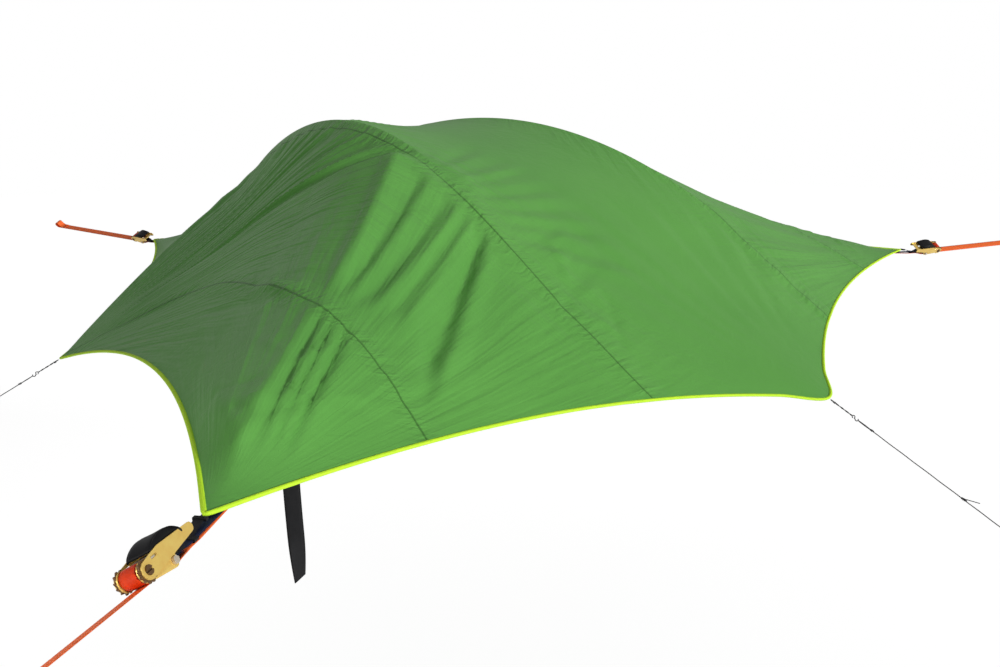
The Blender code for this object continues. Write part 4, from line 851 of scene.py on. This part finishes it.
coat = Finish("green_coated_cloth", FLY_GREEN, 0.38, Specular_IOR_Level=0.13)
cloth = coat.add("UVMap", uv_map="metres").outputs["UV"]
seam_off = coat.add("SeparateXYZ", {0: cloth}).outputs["X"]
side_seam_off = coat.add("Attribute", attribute_name="side_seam").outputs["Fac"]


def stretched_noise(place, across, along, **inputs):
    """Noise drawn out over a map: so many waves to a unit across and along."""
    drawn = coat.add("Mapping", {"Vector": place, "Scale": (across, along, 1.0)}).outputs[0]
    return coat.noise(1.0, drawn, **inputs)


def seam_line(off, near, far):
    """1 as far as one distance from the seam, falling to 0 at another."""
    size = coat.calc("ABSOLUTE", off)
    ends = {"Value": size, "From Min": near, "From Max": far, "To Min": 1.0, "To Max": 0.0}
    return coat.add("MapRange", ends).outputs[0]


pulls = []
for layer, across, depth in (("side_pull", 34.0, 2.6), ("near_pull", 52.0, 0.8)):
    fan = coat.add("UVMap", uv_map=layer).outputs["UV"]
    rough = stretched_noise(fan, across, 2.2, Detail=2.0, Roughness=0.5, Distortion=0.2)
    deeper = coat.calc("MULTIPLY", coat.add("SeparateXYZ", {0: fan}).outputs["Y"], depth)
    pulls.append(coat.calc("MULTIPLY", rough, deeper))
nearness = coat.add("Attribute", attribute_name="nearness").outputs["Fac"]
streak = {"Factor": nearness, 2: pulls[0], 3: pulls[1]}
streak = coat.add("Mix", streak, data_type="FLOAT").outputs[0]
on_seam = coat.calc("MAXIMUM", seam_line(seam_off, 0.0024, 0.0036),
                    seam_line(side_seam_off, 0.0020, 0.0032))
near_seam = coat.calc("MAXIMUM", seam_line(seam_off, 0.012, 0.085),
                      seam_line(side_seam_off, 0.008, 0.060))
tint = coat.mix(coat.noise(2.2, Detail=3.0), FLY_SHADE, shade(FLY_GREEN, 1.12))
coat.give("Base Color", coat.mix(on_seam, tint, shade(FLY_SHADE, 0.66)))
puckers = stretched_noise(cloth, 7.0, 38.0, Detail=3.0, Distortion=0.4)
puckers = coat.calc("MULTIPLY", puckers, near_seam)
height = coat.calc("MULTIPLY_ADD", puckers, 2.2, on_seam)
height = coat.calc("MULTIPLY_ADD", streak, 1.6, height)
crinkle = coat.noise(15.0, Detail=4.0, Roughness=0.55, Distortion=1.2)
folds = coat.bump(coat.calc("MULTIPLY_ADD", crinkle, 0.45, height), 0.55, 0.009)
coat.bump(coat.noise(900.0), 0.12, 0.0006, Normal=folds)

fly_piece = new_piece("rain_fly_cloth", fly, grid_faces(*fly.shape[:2]), coat.material)
metres_map(fly_piece, from_seam, np.cumsum(row_length, 0))
off_middle = np.clip((np.abs(plan_x) - 0.28) / 0.55, 0, 1)
reaches = []
for layer, (apex_x, apex_y) in (("near_pull", NEAR_PULL), ("side_pull", SIDE_PULL)):
    away = np.abs(plan_x) + apex_x, plan_y - apex_y
    reaches.append(np.hypot(*away))
    metres_map(fly_piece, np.arctan2(away[1], -away[0]), reaches[-1] * off_middle, layer)
near_reach, side_reach = reaches
for layer, values in (("side_seam", from_side_seam),
                      ("nearness", side_reach ** 4 / (side_reach ** 4 + near_reach ** 4))):
    note = fly_piece.data.attributes.new(layer, "FLOAT", "POINT")
    note.data.foreach_set("value", values.ravel())
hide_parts("rain_fly")
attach(fly_piece, "tent")


# Edge tape
# A bright lime woven tape folded over the whole edge of the fly and sewn through it, round the
# six corners too.
LIME, LIME_SHADE = (0.66, 0.98, 0.045), (0.45, 0.80, 0.02)
TAPE_OUT, TAPE_HALF_WIDE, TAPE_HALF_THICK = 0.0010, 0.0056, 0.0046
lime_finish = webbing_finish("lime_edge_tape", LIME, LIME_SHADE, 0.0016, roughness=0.6)


def hem_path(grid):
    """The fly's edge, all the way round from the middle of the tail, towards the left."""
    middle = grid.shape[1] // 2
    left = np.concatenate([grid[:1, middle], grid[:, -1], grid[-1, middle:-1][::-1]])
    right = (np.concatenate([grid[:, 0], grid[-1, 1:middle]]))[::-1]
    return np.concatenate([left, right])


edge = hem_path(fly)
edge = edge[np.linalg.norm(edge - np.roll(edge, 1, 0), axis=1) > 0.002]
ahead = np.roll(edge, -1, 0) - np.roll(edge, 1, 0)
outward = unit(np.cross(ahead, UP))
upward = facing_up(unit(np.cross(outward, ahead)))
angle = 2 * np.pi * np.arange(10) / 10
over_edge = TAPE_HALF_WIDE * np.cos(angle)
ring = swept(edge, outward, upward, TAPE_OUT + over_edge, TAPE_HALF_THICK * np.sin(angle))
tape = new_piece("fly_edge_tape", ring, grid_faces(*ring.shape[:2], True, True), lime_finish)
metres_map(tape, run_along(edge)[:, None], over_edge)
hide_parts("fly_binding")
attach(tape, "tent")


# Inner tent
# Fine black insect mesh over the poles' undersides down to the floor, with the big door in
# its front panel rolled up and tied.
MESH_BLACK = (0.012, 0.012, 0.013)
FLOOR_SAG = 0.025
CANOPY_ROWS, CANOPY_RADIUS, CANOPY_TAIL_Y, CANOPY_LEVEL = 12, 2.180, 1.585, -0.00095
CANOPY_UNDER_POLE = 0.018 + 0.006 + PLAY + 0.0015
CANOPY_STEPS = 6
DOOR_TOP, DOOR_FOOT, DOOR_HALF = 7 * CANOPY_STEPS, 11 * CANOPY_STEPS, 3 * CANOPY_STEPS
ROLL_THICK, ROLL_SIDES = 0.0205, 28


def spots(finish, scale):
    """Distance from the nearest of many scattered points."""
    cells = finish.add("TexVoronoi", {"Vector": finish.place(), "Scale": scale})
    return cells.outputs["Distance"]


insect_mesh = Finish("black_insect_mesh", MESH_BLACK, 0.85, Alpha=0.72)
holes = spots(insect_mesh, 600.0)
insect_mesh.bump(holes, 0.5, 0.0006)
insect_mesh.give("Base Color", insect_mesh.mix(holes, (0.006, 0.006, 0.006), (0.03, 0.03, 0.032)))


def floor_edge(start, end, share):
    """The mesh's slack foot between two corners that stand at the given bearings."""
    corners = (bearing_point(CANOPY_RADIUS, bearing, CANOPY_LEVEL) for bearing in (start, end))
    return slack_edge(*corners, share, FLOOR_SAG, 0.0)


def half_canopy():
    """The left half of the mesh tent: under the pole, and down to the floor all round."""
    tail_share = (CANOPY_RADIUS - CANOPY_TAIL_Y) / (1.5 * CANOPY_RADIUS)
    side = floor_edge(0.0, -120.0, np.linspace(tail_share, 1, CANOPY_ROWS + 1))
    whole = floor_edge(-120.0, 120.0, np.linspace(0.5, 0, 401))
    front = floor_edge(-120.0, 120.0, 0.5 - 0.5 * edge_shares(whole))
    ends = [(end[1] - ARCH_START[1]) / ARCH_WAY[1] for end in (side[0], front[INNER_COLUMNS])]
    ridge = pole_arch(np.linspace(*ends, CANOPY_ROWS + 1), CANOPY_UNDER_POLE)
    ridge[0][2] = ridge[-1][2] = CANOPY_LEVEL
    grid = straight_rows(ridge * [0, 1, 1], ridge, side)
    grid[-1] = front
    fixed = np.zeros(grid.shape[:2], bool)
    fixed[0] = fixed[-1] = fixed[:, -1] = fixed[:, INNER_COLUMNS] = True
    even = np.ones(fixed.shape)
    across = even.copy()
    across[:, :INNER_COLUMNS] = 2.0
    return settled(grid, fixed, even, across, 0 * even)


canopy = mirrored(smooth_sheet(half_canopy(), CANOPY_STEPS, CANOPY_STEPS))
canopy_faces = grid_faces(*canopy.shape[:2])
row, column = np.divmod(canopy_faces[:, 0], canopy.shape[1])
middle = canopy.shape[1] // 2
door = ((row >= DOOR_TOP) & (row < DOOR_FOOT)
        & (column >= middle - DOOR_HALF) & (column < middle + DOOR_HALF))
canopy_piece = new_piece("inner_tent_mesh", canopy, canopy_faces[~door], insect_mesh.material)
wall = canopy_piece.modifiers.new("mesh", "SOLIDIFY")
wall.thickness = 0.0008
wall.offset = 0.0
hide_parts("inner_canopy")
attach(canopy_piece, "tent")

top, below = (canopy[line, middle - DOOR_HALF:middle + DOOR_HALF + 1]
              for line in (DOOR_TOP, DOOR_TOP + CANOPY_STEPS))
drop = unit(below - top)[1:-1]
lie = top[1:-1] + drop * 0.0217
over = np.cross(unit(np.gradient(lie, axis=0)), drop)
share = np.linspace(0, 1, len(lie))
tied = np.exp(-((share - 0.25) / 0.02) ** 2) + np.exp(-((share - 0.75) / 0.02) ** 2)
angle = 2 * np.pi * np.arange(ROLL_SIDES) / ROLL_SIDES
fold = 1 + 0.05 * np.sin(angle * 3 + share[:, None] * 9)
thick = (ROLL_THICK * (1 - 0.16 * tied))[:, None] * fold
ring = swept(lie, drop, over, thick * np.cos(angle), thick * np.sin(angle))
roll = new_piece("door_roll_mesh", ring, capped_tube(len(lie), ROLL_SIDES), insect_mesh.material)
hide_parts("door_roll")
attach(roll, "tent")


# Floor and hatch
# Heavy grey coated cloth pulled tight between the corner straps, with a zipped hatch in its
# middle and a webbing band sewn under each corner.
GREY_CLOTH, PLASTIC_BLACK = (0.085, 0.092, 0.10), (0.005, 0.005, 0.006)
floor_coat = Finish("grey_floor_cloth", GREY_CLOTH, 0.62, Sheen_Weight=0.05)
patches = floor_coat.noise(3.0, Detail=5.0)
tone_mix = floor_coat.mix(patches, shade(GREY_CLOTH, 0.75), shade(GREY_CLOTH, 1.2))
floor_coat.give("Base Color", tone_mix)
weave = floor_coat.calc("MULTIPLY_ADD", spots(floor_coat, 260.0), 0.25, patches)
floor_coat.bump(weave, 0.25, 0.002)


def recoat(node_name, finish, width=0.0004, angle=32.0, segments=2):
    """A solid of the model keeps its shape: faces joined, edges eased, and the finish put on."""
    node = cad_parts[node_name]
    node.data.materials.clear()
    node.data.materials.append(finish)
    join = node.modifiers.new("join", "WELD")
    join.merge_threshold = 0.00001
    ease = node.modifiers.new("ease", "BEVEL")
    ease.width = width
    ease.segments = segments
    ease.limit_method = "ANGLE"
    ease.angle_limit = math.radians(angle)
    ease.harden_normals = False


for name in ("tent_floor", "floor_hatch"):
    recoat(name, floor_coat.material, 0.0008)
plastic_finish = grained_finish("black_moulded_plastic", PLASTIC_BLACK, 0.5, 1400.0, 0.25,
                                Specular_IOR_Level=0.15)
recoat("hatch_slider", plastic_finish, 0.0003)


# Poles
# Two bent arches of grey anodised alloy tube, in sections plugged together. They stand on the
# floor, under the fly's seams and over the mesh tent.
TUBE_GREY = (0.55, 0.56, 0.58)
pole_finish = grained_finish("grey_anodised_tube", TUBE_GREY, 0.34, 300.0, 0.1, 3.0, metallic=1.0)
for name in ("pole_left", "pole_right"):
    recoat(name, pole_finish, 0.0002, 50.0, 1)


# Corner straps and fly ties
# Navy webbing sewn under each floor corner, with an eye round the ratchet's bolt. A black tie
# with a ladder buckle draws the fly's corner to a sleeve round it.
NAVY, NAVY_DARK = (0.011, 0.018, 0.062), (0.004, 0.007, 0.024)
EYE_RADIUS = 0.0044 + WEB_THICK / 2
WEB_START = 1.940
TIE_WIDTH, TIE_THICK = 0.020, 0.0014
SLEEVE_HALF, SLEEVE_POINTS = 0.008, 48
navy_finish = webbing_finish("navy_strap_weave", NAVY, NAVY_DARK, 0.0014)
for corner, (bearing, _, roll) in CORNERS.items():
    angles = np.radians(np.linspace(90, -90, 22))
    x = np.concatenate([[WEB_START, FLOOR_WEB_END, NECK_OUT], BOLT_OUT + EYE_RADIUS * np.cos(angles),
                        [BOLT_OUT - 0.001, NECK_OUT, NECK_OUT - 0.020]])
    z = np.concatenate([[WEB_LEVEL, WEB_LEVEL, NECK_LEVEL + 0.0008],
                        BOLT_LEVEL + EYE_RADIUS * np.sin(angles),
                        [BOLT_LEVEL - EYE_RADIUS, NECK_LEVEL - 0.0012, NECK_LEVEL - 0.0012]])
    level = resample(np.stack([x, 0 * x, z], 1), 0.003)
    path = corner_place(bearing, *level.T, roll)
    web = corner_strap(f"corner_web_strap_{corner}", bearing, path, roll, navy_finish, 0.0020, 0.0)
    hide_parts(f"corner_web_{corner}")
    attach(web, "tent")

    start = FLY_CORNER_RADIUS + 0.0106
    high = web_level(TIE_RING_OUT - SLEEVE_HALF) + WEB_THICK / 2 + 0.0006
    low = web_level(TIE_RING_OUT + SLEEVE_HALF) - WEB_THICK / 2 - 0.0006
    line = resample(corner_place(bearing, [start, start + 0.012, TIE_RING_OUT - 0.004], 0.0,
                                 [0.0, 0.0, high + 0.0008]), 0.003)
    ring, faces, u, v = flat_strap(line, corner_sides(bearing, line), TIE_WIDTH, TIE_THICK, 0.0)
    angle = np.linspace(0, 2 * np.pi, SLEEVE_POINTS + 1)[:-1]
    square = np.clip(1.25 * np.stack([np.cos(angle), np.sin(angle)], 1), -1, 1)
    loop = corner_place(bearing, TIE_RING_OUT, (STRAP_WIDTH / 2 + TIE_THICK) * square[:, 0],
                        (high + low) / 2 + ((high - low) / 2 + 0.0008) * square[:, 1])
    ahead = 0 * loop + bearing_point(1.0, bearing)
    out_way = unit(loop - loop.mean(0))
    half_tie = TIE_THICK / 2
    sleeve_v = np.array([-SLEEVE_HALF, SLEEVE_HALF, SLEEVE_HALF, -SLEEVE_HALF])
    sleeve = swept(loop, ahead, out_way, sleeve_v, [-half_tie, -half_tie, half_tie, half_tie])
    points, faces = joined([(ring, faces), (sleeve, grid_faces(SLEEVE_POINTS, 4, True, True))])
    tie = new_piece(f"fly_tie_strap_{corner}", points, faces, black_web_finish, smooth=False)
    run = np.concatenate([u.ravel(), np.repeat(np.arange(SLEEVE_POINTS) * 0.0022, 4)])
    metres_map(tie, run, np.concatenate([v.ravel(), np.tile(sleeve_v, SLEEVE_POINTS)]))
    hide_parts(f"fly_tie_{corner}")
    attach(tie, "tent")
    recoat(f"fly_buckle_{corner}", plastic_finish, 0.0005)


# Ratchets
# Pressed steel plates with a yellow passivated finish, brown steel toothed wheels on a slotted
# shaft with the orange strap wound on it, its turns coloured a deeper red as painted shade,
# bright pawls and bolt, and a black moulded grip.
GOLD, GOLD_STAIN = (1.00, 0.78, 0.22), (0.80, 0.46, 0.10)
BRIGHT, BRIGHT_STAIN = (0.80, 0.66, 0.50), (0.50, 0.47, 0.40)
BROWN, BROWN_STAIN = (0.24, 0.13, 0.05), (0.05, 0.025, 0.012)
# the turns wound on the shaft are the same orange strap, coloured a deeper red: painted shade
WOUND_PAINTED_SHADE, WOUND_PAINTED_SHADE_DARK = (0.80, 0.055, 0.004), (0.50, 0.022, 0.002)
CORE_RADIUS = 0.0098
WOUND_THICK = 0.0016
TURNS = 5
HANDLE_LIFT = math.radians(1.0)
GRIP_START, GRIP_END = 0.0304, 0.118
GRIP_HALF, CHEEK_THICK = 0.0256, 0.0015


def plated_finish(name, colour, stain, roughness):
    """Zinc plate: cloudy passivation colour, fine scratches, and rougher patches."""
    plate = Finish(name, colour, roughness, 0.5)
    cloud = plate.noise(45.0, Detail=4.0)
    plate.give("Base Color", plate.mix(cloud, colour, stain))
    span = {"Value": cloud, "To Min": roughness * 0.75, "To Max": roughness * 1.4}
    plate.give("Roughness", plate.add("MapRange", span).outputs[0])
    plate.bump(plate.noise(900.0, Detail=2.0), 0.12, 0.0003)
    return plate.material


def on_handle(bearing, roll, out, across, up):
    """Points out from, beside and above the mandrel's axis, turned by the handle's small lift."""
    turned_out = out * math.cos(HANDLE_LIFT) + up * math.sin(HANDLE_LIFT)
    turned_up = up * math.cos(HANDLE_LIFT) - out * math.sin(HANDLE_LIFT)
    return corner_place(bearing, MANDREL_AT + turned_out, across, turned_up, roll)


gold_finish = plated_finish("yellow_zinc_plate", GOLD, GOLD_STAIN, 0.34)
bright_finish = plated_finish("bright_zinc_plate", BRIGHT, BRIGHT_STAIN, 0.30)
wheel_finish = plated_finish("brown_steel", BROWN, BROWN_STAIN, 0.42)
wound_shade_finish = webbing_finish("wound_strap_painted_shade", WOUND_PAINTED_SHADE, WOUND_PAINTED_SHADE_DARK, roughness=0.40)

for corner, (bearing, _, roll) in CORNERS.items():
    for name in ("ratchet_frame", "ratchet_handle"):
        recoat(f"{name}_{corner}", gold_finish, 0.0005)
    for name in ("drive_pawl", "lock_pawl", "anchor_bolt"):
        recoat(f"{name}_{corner}", bright_finish, 0.0004)
    recoat(f"ratchet_mandrel_{corner}", wheel_finish, 0.0004)

    # the orange strap's turns on the shaft, in the deeper red of painted shade
    angle = np.linspace(0, 2 * np.pi * TURNS, TURNS * 44)
    radius = CORE_RADIUS + (ROLL_RADIUS - CORE_RADIUS) * angle / angle[-1] - 0.0009
    path = corner_place(bearing, MANDREL_AT + radius * np.sin(angle), 0.0, -radius * np.cos(angle),
                        roll)
    wound = corner_strap(f"strap_roll_web_{corner}", bearing, path, roll, wound_shade_finish, WOUND_THICK,
                         0.0)
    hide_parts(f"strap_roll_{corner}")
    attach(wound, f"mandrel_{corner}")

    share = np.linspace(0, 1, 40)
    out_line = -(GRIP_START + (GRIP_END - GRIP_START) * share)
    up_line = 0.0185 + 0.016 * np.sin(np.pi * share) ** 0.6
    path = on_handle(bearing, roll, out_line, 0.0, up_line)
    sides = corner_sides(bearing, path, roll)
    parts = [flat_strap(path, sides, 2 * GRIP_HALF, 0.0030, 0.0012)[:2]]
    low_line, high_line = np.minimum(0.0165 - 0.0015 * share, up_line - 0.0004), up_line + 0.0004
    for side in (-1, 1):
        inner, outer = side * (GRIP_HALF - CHEEK_THICK), side * GRIP_HALF
        section = (inner, low_line), (outer, low_line), (outer, high_line), (inner, high_line)
        cheek = np.stack([on_handle(bearing, roll, out_line, *point) for point in section], 1)
        parts.append((cheek, [face[::side] for face in capped_tube(len(cheek), 4)]))
    grip = new_piece(f"handle_grip_mould_{corner}", *joined(parts), plastic_finish)
    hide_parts(f"handle_grip_{corner}")
    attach(grip, f"handle_{corner}")


# Studio
# A plain pale floor well below the hung tent, a white surround, a low sun from the door's side
# and soft light from above.
FLOOR_HALF, FLOOR_LEVEL = 30, -1.90
white = Finish("pale_studio_floor", (0.86, 0.86, 0.86), 0.9)
glow = white.add("Emission", {"Color": (1, 1, 1, 1), "Strength": 1.15})
seen = white.calc("MULTIPLY_ADD", white.add("LightPath").outputs["Is Camera Ray"], 0.45, 0.35)
blend = white.add("MixShader", {0: seen, 1: white.shader.outputs[0], 2: glow.outputs[0]})
white.links.new(blend.outputs[0], white.nodes["Material Output"].inputs["Surface"])
floor_points = [(x * FLOOR_HALF, y * FLOOR_HALF, FLOOR_LEVEL)
                for x, y in ((-1, -1), (1, -1), (1, 1), (-1, 1))]
studio_floor = new_piece("studio_floor", floor_points, [(0, 1, 2, 3)], white.material)

world = bpy.data.worlds.new("white_surround")
bpy.context.scene.world = world
surround = NodeTree(world)
rays = surround.add("LightPath").outputs
seen = surround.calc("ADD", rays["Is Camera Ray"], rays["Is Transmission Ray"], clamp=True)
bright = surround.calc("MULTIPLY_ADD", rays["Is Glossy Ray"], 0.30, seen, clamp=True)
level = surround.add("MapRange", {"Value": bright, "To Min": 0.10, "To Max": 1.0})
surround.links.new(level.outputs[0], surround.nodes["Background"].inputs["Strength"])
surround.nodes["Background"].inputs["Color"].default_value = (1, 1, 1, 1)


def add_lamp(name, kind, way, place=(0, 0, 0), **values):
    """A lamp at a place that shines along a way."""
    data = bpy.data.lights.new(name, kind)
    for key, value in values.items():
        setattr(data, key, value)
    made = bpy.data.objects.new(name, data)
    made.location = place
    made.rotation_euler = Vector(way).to_track_quat("-Z", "Y").to_euler()
    bpy.context.scene.collection.objects.link(made)


def sun_lamp(name, way, strength, spread):
    """A sun that shines along a way, its disc spread over some degrees."""
    add_lamp(name, "SUN", way, energy=strength, angle=math.radians(spread))


def soft_lamp(name, place, target, size, power):
    """A square soft lamp aimed at a point."""
    add_lamp(name, "AREA", Vector(target) - Vector(place), place, shape="SQUARE", size=size,
             energy=power)


soft_lamp("near_strap_fill", (-3.40, -1.20, 0.30), (-2.75, -1.65, -0.05), 0.5, 9.0)
sun_lamp("low_sun", (-0.12, 0.96, -0.26), 2.75, 10.0)
sun_lamp("light_above", (0.05, 0.10, -1.0), 0.52, 70.0)
soft_lamp("sky_behind", (1.2, 8.2, 4.3), (-0.6, 0.3, 0.3), 2.6, 14.0)

bpy.context.scene.view_settings.view_transform = "Standard"
